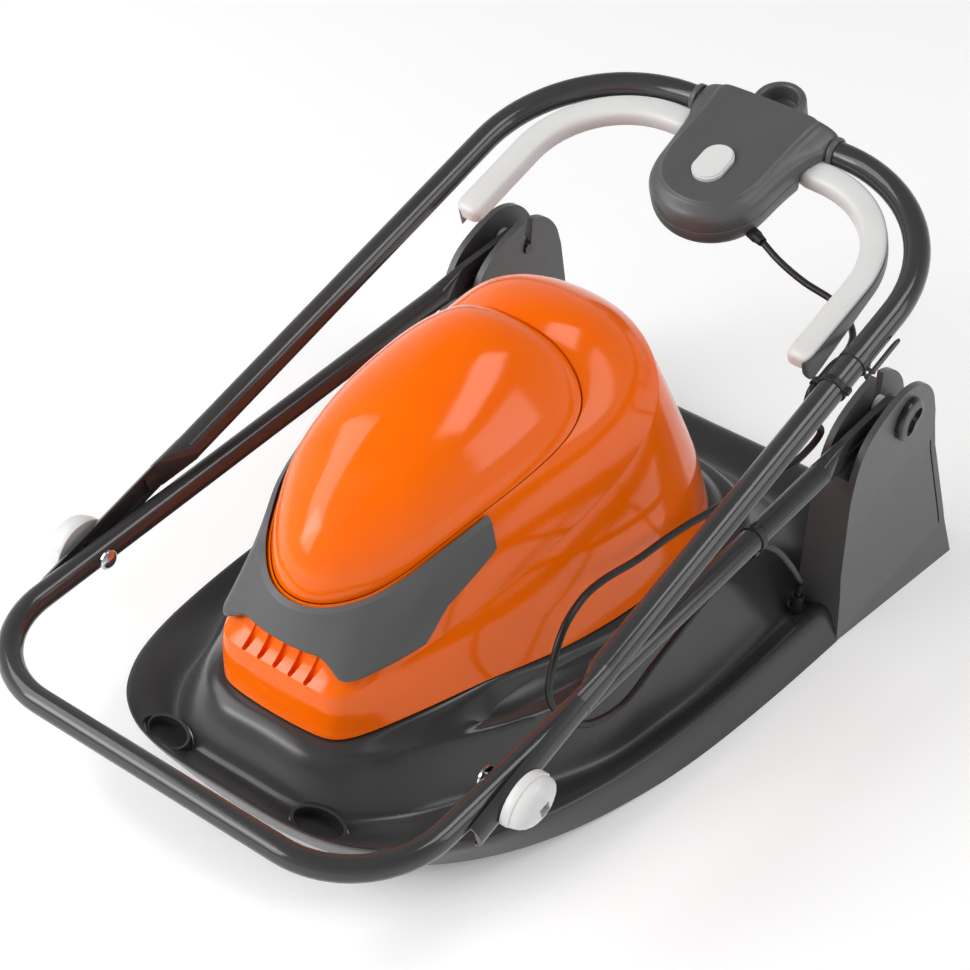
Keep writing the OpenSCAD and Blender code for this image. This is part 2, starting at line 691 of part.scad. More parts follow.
module up_flat() {
  hull() {
    translate([up_half, up_round_u + 0.2, 0]) rotate([90, 0, 0])
      cylinder(d = up_d + 0.5, h = 0.2, $fn = 32);
    flat_bar(0.3, up_flat_u - 0.4, up_flat_u - 0.2);
  }
  difference() {
    flat_bar(0, -up_tip, up_flat_u);
    translate([flat_in - 1, -up_tip - 1, -up_flat_w / 2 + 4])
      cube([4, up_tip + up_flat_u - 12, up_flat_w - 8]);
  }
}

module upper_tube() {
  color("#4a4b4e") place() upper_frame() difference() {
    union() {
      difference() {
        up_loop(up_d / 2);
        up_loop(up_d / 2 - tube_wall);
      }
      both_x() up_flat();
    }
    translate([-300, 0, 0]) rotate([0, 90, 0]) cylinder(d = bolt_d + 2 * run_fit, h = 600);
  }
}

// Leaf-shaped clamping knobs
module wing_knob(s) {
  r = knob_len * 0.54;
  mirror([s < 0 ? 1 : 0, 0, 0]) translate([0, knob_y, knob_z]) rotate([up_tilt, 0, 0])
    translate([flat_out + 0.5, 0, 0])
    rotate([0, 90, 0]) rotate([0, 0, 90]) difference() {
    union() {
      difference() {
        intersection() {
          translate([0, r * 0.38, 0]) cylinder(r = r, h = knob_h, $fn = 64);
          translate([0, -r * 0.38, 0]) cylinder(r = r, h = knob_h, $fn = 64);
          translate([0, 0, knob_h - 36]) sphere(r = 36, $fn = 64);
        }
        translate([0, 0, -1]) intersection() {
          translate([0, r * 0.38, 0]) cylinder(r = r - 3, h = 9, $fn = 64);
          translate([0, -r * 0.38, 0]) cylinder(r = r - 3, h = 9, $fn = 64);
        }
      }
      cylinder(d = 16, h = 12);
    }
    translate([0, 0, -1]) cylinder(d = bolt_d + 2 * run_fit, h = 17);
    translate([-7, -r, 6]) cube([9, r * 0.52, 20]);
  }
}

module wing_knob_left() {
  color("#dcdcda") place() wing_knob(-1);
}

module wing_knob_right() {
  color("#dcdcda") place() wing_knob(1);
}

// Switch box on the top bar, split along the handle plane
// Stations run from the button end to the top bar
box_line = [[0, 508], [18, 511], [34, 520], [46, 534], [52, 552], [54, 572], [56, 592], [59, 610],
  [box_half - 3, 621],
  [box_half, 630], [box_half, 653], [40, 656], [0, 656]];
brow_line = [[0, 520], [15, 522], [28, 529], [38, 541], [43, 556], [45, 572], [45, 590], [46, 606],
  [47, 620],
  [48, 632], [48, 650], [30, 652], [0, 652]];
sleeve = [0, 0, 0, 0, 0, 0, 0, 2, 4, 5, 5, 1, 0];

function box_ring(L, n, e, k) = around([for (i = [0 : 12]) let(d = unit([L[i][0], L[i][1] - 590]))
  [max(L[i][0] - e * d[0], 0), L[i][1] + bar_u - 641 - e * d[1], n - k * sleeve[i]]], 32);

module button_form(e) {
  h = (btn_len - btn_wid) / 2;
  for (q = [-h, h]) translate([0, btn_u + q]) circle(d = btn_wid + 2 * e, $fn = 48);
  translate([-btn_wid / 2 - e, btn_u - h]) square([btn_wid + 2 * e, 2 * h]);
}

inlet_x = -11;
inlet_u = bar_u + 36;
inlet_n = -4;
inlet_d = 47.4;

module box_cuts() {
  translate([-200, bar_u, 0]) rotate([0, 90, 0]) cylinder(r = up_d / 2 + 0.2, h = 400);
  for (s = [-1, 1]) translate([bail_x + s * 62 - 14, rod_u - lever_w / 2 - 3, -60])
    cube([28, lever_w + 6, 62.5]);
  translate([inlet_x, inlet_u, -60]) cylinder(d = inlet_d + 0.8, h = 120);
}

module switch_box_top() {
  w = box_wall;
  color("#55565a") place() upper_frame() difference() {
    skin([box_ring(brow_line, box_top - 0.5, 14, 0), box_ring(brow_line, box_top, 4, 0.1),
      box_ring(brow_line, box_top - 0.6, 1, 0.3),
      box_ring(brow_line, box_top - 3, -0.6, 0.5), box_ring(box_line, box_top - 7, 2.4, 0.6),
      box_ring(box_line, box_top - 13, 0, 0.6), box_ring(box_line, box_part, 0, 0),
      box_ring(box_line, box_part, w, 0),
      box_ring(box_line, box_top - 13 - w, w, 0.6), box_ring(brow_line, box_top - 4 - w, w - 1, 0.5),
      box_ring(brow_line, box_top - 0.5 - w, 14, 0)]);
    translate([0, 0, box_top - 20]) linear_extrude(40) button_form(btn_gap);
    box_cuts();
  }
}

module lead_axis() {
  translate([38, bar_u - 93, lead_n]) rotate([0, 0, -20]) rotate([0, 90, 0]) children();
}

screw_at = [[36, bar_u - 76], [-36, bar_u - 76], [0, bar_u - 40]];

module switch_box_base() {
  w = box_wall;
  z = box_part - gap;
  color("#4c4d51") place() upper_frame() difference() {
    union() {
      skin([box_ring(box_line, w - box_low, 40, 0), box_ring(box_line, w - box_low, 11, 0),
        box_ring(box_line, z - 10, w + 1, 0), box_ring(box_line, z, w, 0), box_ring(box_line, z, 0, 0),
        box_ring(box_line, z - 10, 0.8, 0), box_ring(box_line, 3.5 - box_low, 4, 0),
        box_ring(box_line, -box_low, 10, 0),
        box_ring(box_line, -box_low, 40, 0)]);
      for (p = screw_at) translate([p[0], p[1], 1 - box_low])
        cylinder(d = 9, h = box_low + box_part - 5, $fn = 24);
      for (s = [-1, 1]) translate([s * 36 - 4, rod_u - 9, 1 - box_low])
        cube([8, 18, box_low - lever_drop + 9]);
    }
    box_cuts();
    for (p = screw_at) translate([p[0], p[1], -box_low - 1]) cylinder(d = 3.6, h = 60, $fn = 24);
    for (p = screw_at) translate([p[0], p[1], -box_low - 1]) cylinder(d = 7.4, h = 4.4, $fn = 24);
    translate([-50, rod_u, -lever_drop]) rotate([0, 90, 0]) cylinder(d = rod_d + 2 * run_fit, h = 100);
    lead_axis() translate([0, 0, -4]) cylinder(d = 11.6, h = 40, $fn = 32);
  }
}

module box_screws() {
  color("#b4b6b9") place() upper_frame() for (p = screw_at) translate([p[0], p[1], -box_low + 0.4])
    difference() {
    union() {
      cylinder(d = 6.6, h = 2.4, $fn = 24);
      cylinder(d = 3.2, h = 14, $fn = 24);
    }
    translate([0, 0, 0.4]) cube([4.4, 1, 2], center = true);
    translate([0, 0, 0.4]) cube([1, 4.4, 2], center = true);
  }
}

module lock_button() {
  color("#e2e2e0") place() upper_frame() difference() {
    union() {
      translate([0, 0, box_top - 10]) linear_extrude(12.5) button_form(0);
      translate([0, 0, box_top + 2.4]) linear_extrude(1.4) button_form(-1.5);
      translate([0, 0, box_top - 12]) linear_extrude(3) button_form(3);
    }
    translate([0, 0, box_top - 13]) linear_extrude(12) button_form(-3);
  }
}

spring_low = -box_low + box_wall + 0.5;
spring_high = box_top - 2.2;

module button_spring() {
  n = spring_turns * 12;
  P = [for (i = [0 : n]) on_upper([8 * cos(30 * i), btn_u + 8 * sin(30 * i),
    mix(spring_low + 1, spring_high, i / n)])];
  color("#b8babd") place() skin(tube_rings(P, 0.8, on_upper([0, 0, 1]) - on_upper([0, 0, 0]), 8));
}

// Switch bail: two channels on one rod that close up to the handle tube when squeezed
module lever_form() {
  h = lever_h / 2;
  w = lever_w / 2;
  c = 4;
  polygon([[-w + c, -h], [w, -h], [w, -h + lever_wall], [-w + c, -h + lever_wall],
    [-w + lever_wall, -h + c],
    [-w + lever_wall, h - c], [-w + c, h - lever_wall], [w, h - lever_wall], [w, h], [-w + c, h],
    [-w, h - c],
    [-w, -h + c]]);
}

module lever() {
  arm = lever_u - 440;
  upper_frame() translate([0, 0, -lever_drop]) difference() {
    union() {
      translate([bend_x + lever_r, lever_u, 0]) rotate([90, 0, 0]) linear_extrude(arm) lever_form();
      translate([bend_x, lever_u, 0]) rotate_extrude(angle = 90) translate([lever_r, 0]) lever_form();
      translate([bend_x - 26, rod_u, 0]) rotate([90, 0, 90]) linear_extrude(26) lever_form();
      translate([bend_x + lever_r - lever_w / 2 + 2, lever_u - arm - 3, -lever_h / 2 + 2])
        cube([lever_w - 4, 3.2, lever_h - 4]);
      translate([bend_x - 26, rod_u, 0]) rotate([0, 90, 0]) cylinder(d = lever_h - 1, h = 14);
    }
    translate([bend_x - 40, rod_u, 0]) rotate([0, 90, 0]) cylinder(d = rod_d + 0.04, h = 36);
  }
}

module lever_left() {
  color("#d6d7d6") place() translate([bail_x, 0, 0]) mirror([1, 0, 0]) lever();
}

module lever_right() {
  color("#d6d7d6") place() translate([bail_x, 0, 0]) lever();
}

module lever_rod() {
  color("#b4b6b9") place() upper_frame() translate([bail_x - 58, rod_u, -lever_drop])
    rotate([0, 90, 0]) cylinder(d = rod_d, h = 116);
}

module microswitch() {
  color("#2c2c2e") place() upper_frame() translate([-14, bar_u - 62, box_wall + 0.4 - box_low]) {
    cube([28, 10, 14]);
    translate([20, 2, 13.9]) cube([4, 6, 3]);
  }
}

module mains_inlet() {
  color("#2e2f31") place() upper_frame() translate([inlet_x, inlet_u, inlet_n]) difference() {
    union() {
      translate([0, 0, -22]) cylinder(d = inlet_d, h = 20);
      translate([0, 0, -2.1]) cylinder(d1 = inlet_d, d2 = inlet_d - 4, h = 2);
    }
    translate([0, 0, -11]) cylinder(d = 32, h = 24);
    translate([0, 0, -19]) cylinder(d = 22, h = 12);
    for (x = [-7, 7]) translate([x, 0, -30]) cylinder(d = 5, h = 30, $fn = 24);
  }
}

module inlet_pins() {
  color("#cfa64a") place() upper_frame() for (x = [-7, 7]) translate([inlet_x + x, inlet_u, inlet_n - 21])
    cylinder(d = 4.96, h = 9.5, $fn = 24);
}

module lead_gland() {
  color("#2a2a2c") place() upper_frame() lead_axis() difference() {
    union() {
      translate([0, 0, 2]) cylinder(d = 11, h = 16, $fn = 32);
      translate([0, 0, 17.9]) cylinder(d1 = 10, d2 = 8, h = 8, $fn = 32);
    }
    translate([0, 0, 1]) cylinder(d = cable_d + 0.2, h = 40, $fn = 32);
  }
}

module cable_hook() {
  r = 1.6;
  off = up_d / 2 + 5;
  color("#b4b6b9") place() upper_frame() translate([up_half, 455, 0]) rotate([0, 31, 0]) {
    rotate([90, 0, 0]) linear_extrude(8, center = true) difference() {
      circle(r = up_d / 2 + 1.4);
      circle(r = up_d / 2 + 0.1);
    }
    for (q = [-6, 6]) {
      rotate([0, -atan2(q, off), 0]) translate([up_d / 2 + 0.8, 0, 0]) rotate([0, 90, 0])
        cylinder(r = r, h = norm([off, q]) - up_d / 2 - 0.8, $fn = 20);
      translate([off, 0, q]) sphere(r = r + 0.5, $fn = 20);
      translate([off, 0, q]) rotate([-90, 0, 0]) cylinder(r = r, h = 34, $fn = 20);
    }
    translate([off, 34, 0]) rotate([0, -90, 0]) rotate_extrude(angle = 180) translate([6, 0])
      circle(r = r, $fn = 20);
  }
}

// Motor cable stretches between gland, clips and deck
up_route = [[62.4, bar_u - 101.9, lead_n], [84, bar_u - 110, -21], [110, bar_u - 115, -27],
  [146, bar_u - 120, -31],
  [172, bar_u - 140, -31], [184, bar_u - 170, -20], [up_half + up_eye[0], clip_u + 24, up_eye[1] - 1],
  [up_half + up_eye[0], clip_u + 10, up_eye[1]], [up_half + up_eye[0], clip_u, up_eye[1]]];
loop_start = [up_half + up_eye[0], clip_u - 0.5, up_eye[1]];
loop_end = [low_half + low_eye[0], low_clip_v + 0.5, low_eye[1]];
loop_route = [on_upper(loop_start), on_upper(loop_start - [0, 9, 0]), [188.5, 147, 247], [188, 158, 231],
  [187, 176, 218], [183, 189, 202], [175, 189, 183], [165, 178, 166], [153, 150, 157], [145, 105, 156],
  [141, 50, 160], [141, 0, 164], [144, -50, 176],
  [147, -84, 178], [151, -113, 164], [156, -130, 126], [165, -126, 104], [177, -106, 88], [186, -72, 90],
  [190, -36, 112], [192, 14, 134], [195, 36, 146], on_lower(loop_end + [0, 10, 0]), on_lower(loop_end)];
low_start = [low_half + low_eye[0], low_clip_v - 0.5, low_eye[1]];
low_route = [on_lower(low_start), on_lower(low_start - [0, 10, 0.7]), [200, 111, 138], [202, 135, 109],
  [199, 160, 78], gland_at + [3, -3, 34], gland_at + [0, 0, 20], gland_at + [0, 0, 9]];

module cable_upper() {
  P = [for (p = path(up_route, 5)) on_upper(p)];
  color("#1c1c1e") place() skin(tube_rings(P, cable_d / 2, [0, 0, 1], 10));
}

module cable_loop() {
  color("#1c1c1e") place() skin(tube_rings(path(loop_route, 4), cable_d / 2, [1, 0, 0], 10));
}

module cable_lower() {
  color("#1c1c1e") place() skin(tube_rings(path(low_route, 5), cable_d / 2, [1, 0, 0], 10));
}

deck_shell();
front_cup_left();
front_cup_right();
motor_hood();
front_bubble();
front_trim();
bracket_left();
bracket_right();
pivot_bolt_left();
pivot_bolt_right();
pivot_bush_left();
pivot_bush_right();
motor_mount();
motor_can();
bearing_lower();
bearing_upper();
armature();
motor_shaft();
impeller();
blade_spacer();
blade();
blade_bolt();
deck_gland();
lower_tube();
knob_bolt_left();
knob_bolt_right();
lower_clip();
upper_tube();
switch_box_top();
switch_box_base();
box_screws();
lock_button();
button_spring();
lever_left();
lever_right();
lever_rod();
microswitch();
mains_inlet();
inlet_pins();
lead_gland();
upper_clip();
cable_hook();
wing_knob_left();
wing_knob_right();
cable_upper();
cable_loop();
cable_lower();
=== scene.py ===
import math
import bmesh
import bpy
import numpy as np
from mathutils import Matrix, Vector


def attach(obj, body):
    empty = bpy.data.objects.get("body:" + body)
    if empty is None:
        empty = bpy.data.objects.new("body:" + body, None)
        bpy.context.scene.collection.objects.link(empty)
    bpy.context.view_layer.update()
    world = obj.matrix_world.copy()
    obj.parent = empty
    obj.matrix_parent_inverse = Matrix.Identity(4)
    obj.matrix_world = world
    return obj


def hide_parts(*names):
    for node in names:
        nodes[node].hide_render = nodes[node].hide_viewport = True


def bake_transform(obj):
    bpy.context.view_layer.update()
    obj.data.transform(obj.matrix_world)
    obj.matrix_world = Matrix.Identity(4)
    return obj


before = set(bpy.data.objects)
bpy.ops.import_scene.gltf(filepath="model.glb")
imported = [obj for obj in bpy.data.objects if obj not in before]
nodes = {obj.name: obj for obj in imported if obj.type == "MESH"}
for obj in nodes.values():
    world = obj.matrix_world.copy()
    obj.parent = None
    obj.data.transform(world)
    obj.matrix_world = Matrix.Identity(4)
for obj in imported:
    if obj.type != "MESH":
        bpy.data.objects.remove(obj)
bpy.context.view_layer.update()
print("frame loaded:", len(nodes), "nodes")

# camera, at the height and distance the mower was seen from
cameraSettings = {
    "place": (0.94901, -1.33987, 1.38128),
    "right": (0.787708, 0.614150, 0.048335),
    "up": (-0.398951, 0.448759, 0.799658),
    "lens": 94.91,
    "sensor": 36,
}


def makeCamera(s):
    data = bpy.data.cameras.new("studioCamera")
    data.sensor_width = s["sensor"]
    data.lens = s["lens"]
    cam = bpy.data.objects.new("studioCamera", data)
    right, up = Vector(s["right"]), Vector(s["up"])
    back = right.cross(up)
    turn = Matrix((right, up, back)).transposed().to_4x4()
    cam.matrix_world = Matrix.Translation(s["place"]) @ turn
    bpy.context.scene.collection.objects.link(cam)
    bpy.context.scene.camera = cam


makeCamera(cameraSettings)
print("camera placed")

# the handle geometry that the cords, the box, the bail and the knobs share, in mm;
# U runs along the upper handle from the knobs, V along the lower one from its pivot, N stands off it
plan = {
    "midY": 16.7,
    "motorY": 50,
    "pivot": (278, 185),
    "armLen": 525,
    "lowTilt": 5.1,
    "upTilt": 18.5,
    "lowHalf": 196,
    "lowTube": 20,
    "upHalf": 204,
    "upTube": 22,
    "barU": 641,
    "cable": 6,
    "eyeGap": 1,
    "clipU": 424,
    "clipN": -4,
    "lowClipV": 200,
    "gland": (188, 184, 27),
    "rodU": 617,
    "bailX": -4,
    "inlet": (-11, 677, -4),
    "knobFace": 215.5,
    "bracketFace": 214,
}
lowCos, lowSin = math.cos(math.radians(plan["lowTilt"])), math.sin(math.radians(plan["lowTilt"]))
upCos, upSin = math.cos(math.radians(plan["upTilt"])), math.sin(math.radians(plan["upTilt"]))
knobY = plan["pivot"][0] - plan["armLen"] * lowCos
knobZ = plan["pivot"][1] - plan["armLen"] * lowSin
bar = plan["barU"]


def toFrame(points):
    return (np.array(points, float) - (0, plan["midY"], 0)) / 1000


def onUpper(p):
    return np.array((p[0], knobY + p[1] * upCos - p[2] * upSin, knobZ + p[1] * upSin + p[2] * upCos))


def onLower(p):
    y, z = plan["pivot"]
    return np.array((p[0], y - p[1] * lowCos - p[2] * lowSin, z - p[1] * lowSin + p[2] * lowCos))


def curvePoint(a, b, c, d, t):
    return 0.5 * (2 * b + (c - a) * t + (2 * a - 5 * b + 4 * c - d) * t * t
                  + (3 * b - a - 3 * c + d) * t ** 3)


def openCurve(stations, steps):
    pts = np.array(stations, float)
    pts = np.vstack((2 * pts[0] - pts[1], pts, 2 * pts[-1] - pts[-2]))
    made = [curvePoint(*pts[i:i + 4], k / steps) for i in range(len(pts) - 3) for k in range(steps)]
    return np.array(made + [pts[-2]])


def mirroredLoop(stations, half):
    # one side's stations, nose to rear, become a closed loop of both sides
    pts = np.array(stations, float)
    flip = np.array((-1, 1, 1)[:pts.shape[1]])
    last = len(pts) - 1

    def at(i):
        return pts[-i] * flip if i < 0 else pts[2 * last - i] * flip if i > last else pts[i]

    side = []
    for k in range(half + 1):
        q = k / half * last
        i = min(int(q), last - 1)
        side.append(curvePoint(at(i - 1), at(i), at(i + 1), at(i + 2), q - i))
    return np.array(side + [p * flip for p in side[half - 1:0:-1]])


def unit(v):
    return v / np.maximum(np.linalg.norm(v, axis=-1, keepdims=True), 1e-9)


# meshes
def linkMesh(name, bm):
    bmesh.ops.recalc_face_normals(bm, faces=bm.faces)
    mesh = bpy.data.meshes.new(name)
    bm.to_mesh(mesh)
    bm.free()
    mesh.polygons.foreach_set("use_smooth", [True] * len(mesh.polygons))
    obj = bpy.data.objects.new(name, mesh)
    bpy.context.scene.collection.objects.link(obj)
    return obj


def skinRings(name, rings, loop=False, creases=None):
    # rings of equal length, in mm, joined to one closed skin
    bm = bmesh.new()
    crease = bm.edges.layers.float.new("crease_edge")
    rows = [[bm.verts.new(p) for p in toFrame(r)] for r in rings]
    count = len(rows[0])
    for a in range(len(rows) if loop else len(rows) - 1):
        b = (a + 1) % len(rows)
        for i in range(count):
            j = (i + 1) % count
            bm.faces.new((rows[a][i], rows[a][j], rows[b][j], rows[b][i]))
    if not loop:
        for row in (rows[0], rows[-1]):
            middle = bm.verts.new(sum((v.co for v in row), Vector()) / count)
            for i in range(count):
                bm.faces.new((row[i], row[(i + 1) % count], middle))
    for row, weight in (creases or {}).items():
        for i in range(count):
            edge = bm.edges.get((rows[row][i], rows[row][(i + 1) % count]))
            edge[crease] = weight if np.isscalar(weight) else weight[i]
    return linkMesh(name, bm)


def settle(obj, sharp=35):
    # applies the modifiers and keeps hard edges hard
    evaluated = obj.evaluated_get(bpy.context.evaluated_depsgraph_get())
    mesh = bpy.data.meshes.new_from_object(evaluated)
    obj.modifiers.clear()
    obj.data = mesh
    mesh.polygons.foreach_set("use_smooth", [True] * len(mesh.polygons))
    mesh.set_sharp_from_angle(angle=math.radians(sharp))
    return obj


def subdivide(obj, levels=2):
    mod = obj.modifiers.new("round", "SUBSURF")
    mod.levels = mod.render_levels = levels
    return settle(obj, 180)


def cutAway(obj, cutters, sharp=35):
    for cutter in cutters:
        mod = obj.modifiers.new("cut", "BOOLEAN")
        mod.operation = "DIFFERENCE"
        mod.solver = "MANIFOLD"
        mod.object = cutter
    settle(obj, sharp)
    for cutter in cutters:
        bpy.data.objects.remove(cutter)
    return obj


def prism(name, outline, low, high, place):
    # a straight cutter: outline in two coordinates, low to high in the third
    bm = bmesh.new()
    rows = [[bm.verts.new(toFrame(place((p[0], p[1], h)))) for p in outline] for h in (low, high)]
    bm.faces.new(rows[0])
    bm.faces.new(rows[1])
    for i in range(len(outline)):
        j = (i + 1) % len(outline)
        bm.faces.new((rows[0][i], rows[0][j], rows[1][j], rows[1][i]))
    return linkMesh(name, bm)


def oval(rx, ry, steps=48):
    return [(rx * math.cos(math.tau * i / steps), ry * math.sin(math.tau * i / steps))
            for i in range(steps)]


def rectangle(x0, y0, x1, y1):
    return [(x0, y0), (x1, y0), (x1, y1), (x0, y1)]


def tubeAlong(name, points, radius, sides=16):
    # a round tube along points in mm, with its ring turned as little as possible
    pts = np.array(points, float)
    tangents = unit(np.gradient(pts, axis=0))
    side = unit(np.cross(tangents[0], (0.3, 0.2, 1)))  # any direction across the start
    rings = []
    for p, t in zip(pts, tangents):
        side = unit(side - t * np.dot(side, t))
        other = np.cross(t, side)
        angles = [math.tau * k / sides for k in range(sides)]
        rings.append([p + radius * (side * math.cos(a) + other * math.sin(a)) for a in angles])
    return skinRings(name, rings)


def lathe(name, profile, place, sides=64):
    # a closed turned form: profile as (radius, height), placed by a function of (x, y, height)
    rings = [[place((r * math.cos(math.tau * k / sides), r * math.sin(math.tau * k / sides), h))
              for k in range(sides)] for r, h in profile]
    return skinRings(name, rings)


# finishes
def toLinear(hexColour):
    channels = [int(hexColour[i:i + 2], 16) / 255 for i in (1, 3, 5)]
    return [c / 12.92 if c <= 0.04045 else ((c + 0.055) / 1.055) ** 2.4 for c in channels] + [1]


def addNode(tree, kind, inputs=None, **settings):
    node = tree.nodes.new("ShaderNode" + kind)
    for name, value in settings.items():
        setattr(node, name, value)
    for name, value in (inputs or {}).items():
        if isinstance(value, bpy.types.NodeSocket):
            tree.links.new(value, node.inputs[name])
        else:
            node.inputs[name].default_value = value
    return node


def perMetre(mm):
    return 1000 / mm


def surface(name, s):
    # one finish: two near tones in slow patches, uneven gloss, and the grain of the tool or the paint
    mat = bpy.data.materials.new(name)
    mat.use_nodes = True
    tree = mat.node_tree
    tree.nodes.clear()
    place = addNode(tree, "TexCoord").outputs["Object"]
    patches = addNode(tree, "TexNoise", {"Vector": place, "Scale": perMetre(s["patchMm"]), "Detail": 3})
    tone = addNode(tree, "MapRange", {"Value": patches.outputs["Fac"],
                                      "From Min": 0.35, "From Max": 0.65})
    colour = addNode(tree, "Mix", {"Factor": tone.outputs["Result"]}, data_type="RGBA")
    colour.inputs["A"].default_value = toLinear(s["colour"])
    colour.inputs["B"].default_value = toLinear(s["shade"])
    rubs = addNode(tree, "TexNoise", {"Vector": place, "Scale": perMetre(s["rubMm"]), "Detail": 4})
    gloss = addNode(tree, "MapRange", {"Value": rubs.outputs["Fac"], "From Min": 0.3, "From Max": 0.7,
                                       "To Min": s["rough"][0], "To Max": s["rough"][1]})
    grain = addNode(tree, "TexNoise", {"Vector": place, "Scale": perMetre(s["grainMm"]), "Detail": 2})
    bump = addNode(tree, "Bump", {"Height": grain.outputs["Fac"], "Strength": s["bump"],
                                  "Distance": s["grainMm"] / 1000})
    shader = addNode(tree, "BsdfPrincipled", {
        "Base Color": colour.outputs["Result"], "Roughness": gloss.outputs["Result"],
        "Normal": bump.outputs["Normal"], "Metallic": s.get("metallic", 0)})
    if "ior" in s:
        shader.inputs["IOR"].default_value = s["ior"]
    addNode(tree, "OutputMaterial", {"Surface": shader.outputs["BSDF"]})
    return mat


finishes = {
    # ABS from a polished tool: deep orange under a mirror-like gloss, a faint ripple in reflections
    "polishedOrangeAbs": {"colour": "#fb6b00", "shade": "#f96700", "patchMm": 90, "rubMm": 25,
                          "rough": (0.11, 0.15), "grainMm": 14, "bump": 0.003, "ior": 1.4},
    # polypropylene deck: charcoal with a broad, slightly soft shine and fine tool grain
    "mouldedDeckPolypropylene": {"colour": "#39393a", "shade": "#353536", "patchMm": 120, "rubMm": 60,
                                 "rough": (0.22, 0.28), "grainMm": 1.6, "bump": 0.012, "ior": 1.49},
    # spark-eroded ABS: mid grey, satin, with a leathery grain drawn coarser than it is so that it shows
    "sparkGrainedGreyAbs": {"colour": "#555556", "shade": "#525253", "patchMm": 60, "rubMm": 12,
                            "rough": (0.34, 0.43), "grainMm": 1.1, "bump": 0.07, "ior": 1.52},
    # glass-filled nylon clevis: mid grey, satin, faint flow marks
    "glassFilledNylon": {"colour": "#545455", "shade": "#515152", "patchMm": 45, "rubMm": 9,
                         "rough": (0.34, 0.4), "grainMm": 1.3, "bump": 0.08, "ior": 1.53},
    # powder-coated steel tube: charcoal, a clear even shine with slight orange peel
    "powderCoatedTube": {"colour": "#3c3c3d", "shade": "#383839", "patchMm": 80, "rubMm": 15,
                         "rough": (0.11, 0.15), "grainMm": 2.2, "bump": 0.02, "ior": 1.5},
    # pale polypropylene: off-white, soft satin, a little milky
    "palePolypropylene": {"colour": "#dcdcdb", "shade": "#d8d8d7", "patchMm": 50, "rubMm": 40,
                          "rough": (0.28, 0.34), "grainMm": 1.5, "bump": 0.008, "ior": 1.49},
    # moulded cap: black, wet-looking gloss
    "glossyNylonCap": {"colour": "#2b2b2d", "shade": "#262628", "patchMm": 12, "rubMm": 4,
                       "rough": (0.1, 0.18), "grainMm": 1.8, "bump": 0.03, "ior": 1.53},
    # bright zinc-plated steel: cool, clear reflections with fine turning marks
    "zincPlatedSteel": {"colour": "#d2d4d6", "shade": "#c2c4c7", "patchMm": 6, "rubMm": 3,
                        "rough": (0.14, 0.26), "grainMm": 0.8, "bump": 0.05, "metallic": 1},
    # ground spring steel: grey, duller and streaky
    "groundBladeSteel": {"colour": "#a3a6aa", "shade": "#8f9296", "patchMm": 10, "rubMm": 4,
                         "rough": (0.28, 0.42), "grainMm": 0.9, "bump": 0.1, "metallic": 1},
    # sand-cast aluminium: pale, matt and pebbled
    "castAluminium": {"colour": "#b9bcc0", "shade": "#a9acb0", "patchMm": 14, "rubMm": 4,
                      "rough": (0.45, 0.6), "grainMm": 1.2, "bump": 0.2, "metallic": 1},
    # drawn motor can with a thin grey lacquer
    "lacqueredMotorCan": {"colour": "#74777b", "shade": "#6a6d71", "patchMm": 20, "rubMm": 6,
                          "rough": (0.3, 0.42), "grainMm": 1, "bump": 0.05, "ior": 1.5},
    # varnished copper winding: red-brown, glossy, ribbed by the wire
    "varnishedWinding": {"colour": "#9a5a28", "shade": "#7d4319", "patchMm": 5, "rubMm": 2,
                         "rough": (0.25, 0.4), "grainMm": 0.9, "bump": 0.3, "metallic": 0.6},
    # black nylon: small straps, glands and the fan
    "blackNylon": {"colour": "#1f1f21", "shade": "#1a1a1c", "patchMm": 20, "rubMm": 5,
                   "rough": (0.4, 0.52), "grainMm": 0.9, "bump": 0.08, "ior": 1.53},
    # dull orange nylon spacer
    "orangeNylon": {"colour": "#cf6423", "shade": "#c25a1c", "patchMm": 15, "rubMm": 5,
                    "rough": (0.4, 0.5), "grainMm": 1, "bump": 0.06, "ior": 1.53},
    # brass pins: yellow metal gone dull in use
    "turnedBrass": {"colour": "#9a7f45", "shade": "#7f6838", "patchMm": 4, "rubMm": 2,
                    "rough": (0.3, 0.42), "grainMm": 0.7, "bump": 0.05, "metallic": 1},
    # PVC sheath: black, slightly rubbery sheen
    "pvcCableSheath": {"colour": "#18181a", "shade": "#131315", "patchMm": 30, "rubMm": 6,
                       "rough": (0.36, 0.48), "grainMm": 0.8, "bump": 0.05, "ior": 1.54},
}
finish = {name: surface(name, s) for name, s in finishes.items()}
print("finishes made:", len(finish))


def dress(obj, finishName):
    obj.data.materials.clear()
    obj.data.materials.append(finish[finishName])
    return obj


def standFor(obj, body, finishName, slot, *replaced):
    dress(obj, finishName)
    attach(obj, body)
    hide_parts(*replaced)
    return obj


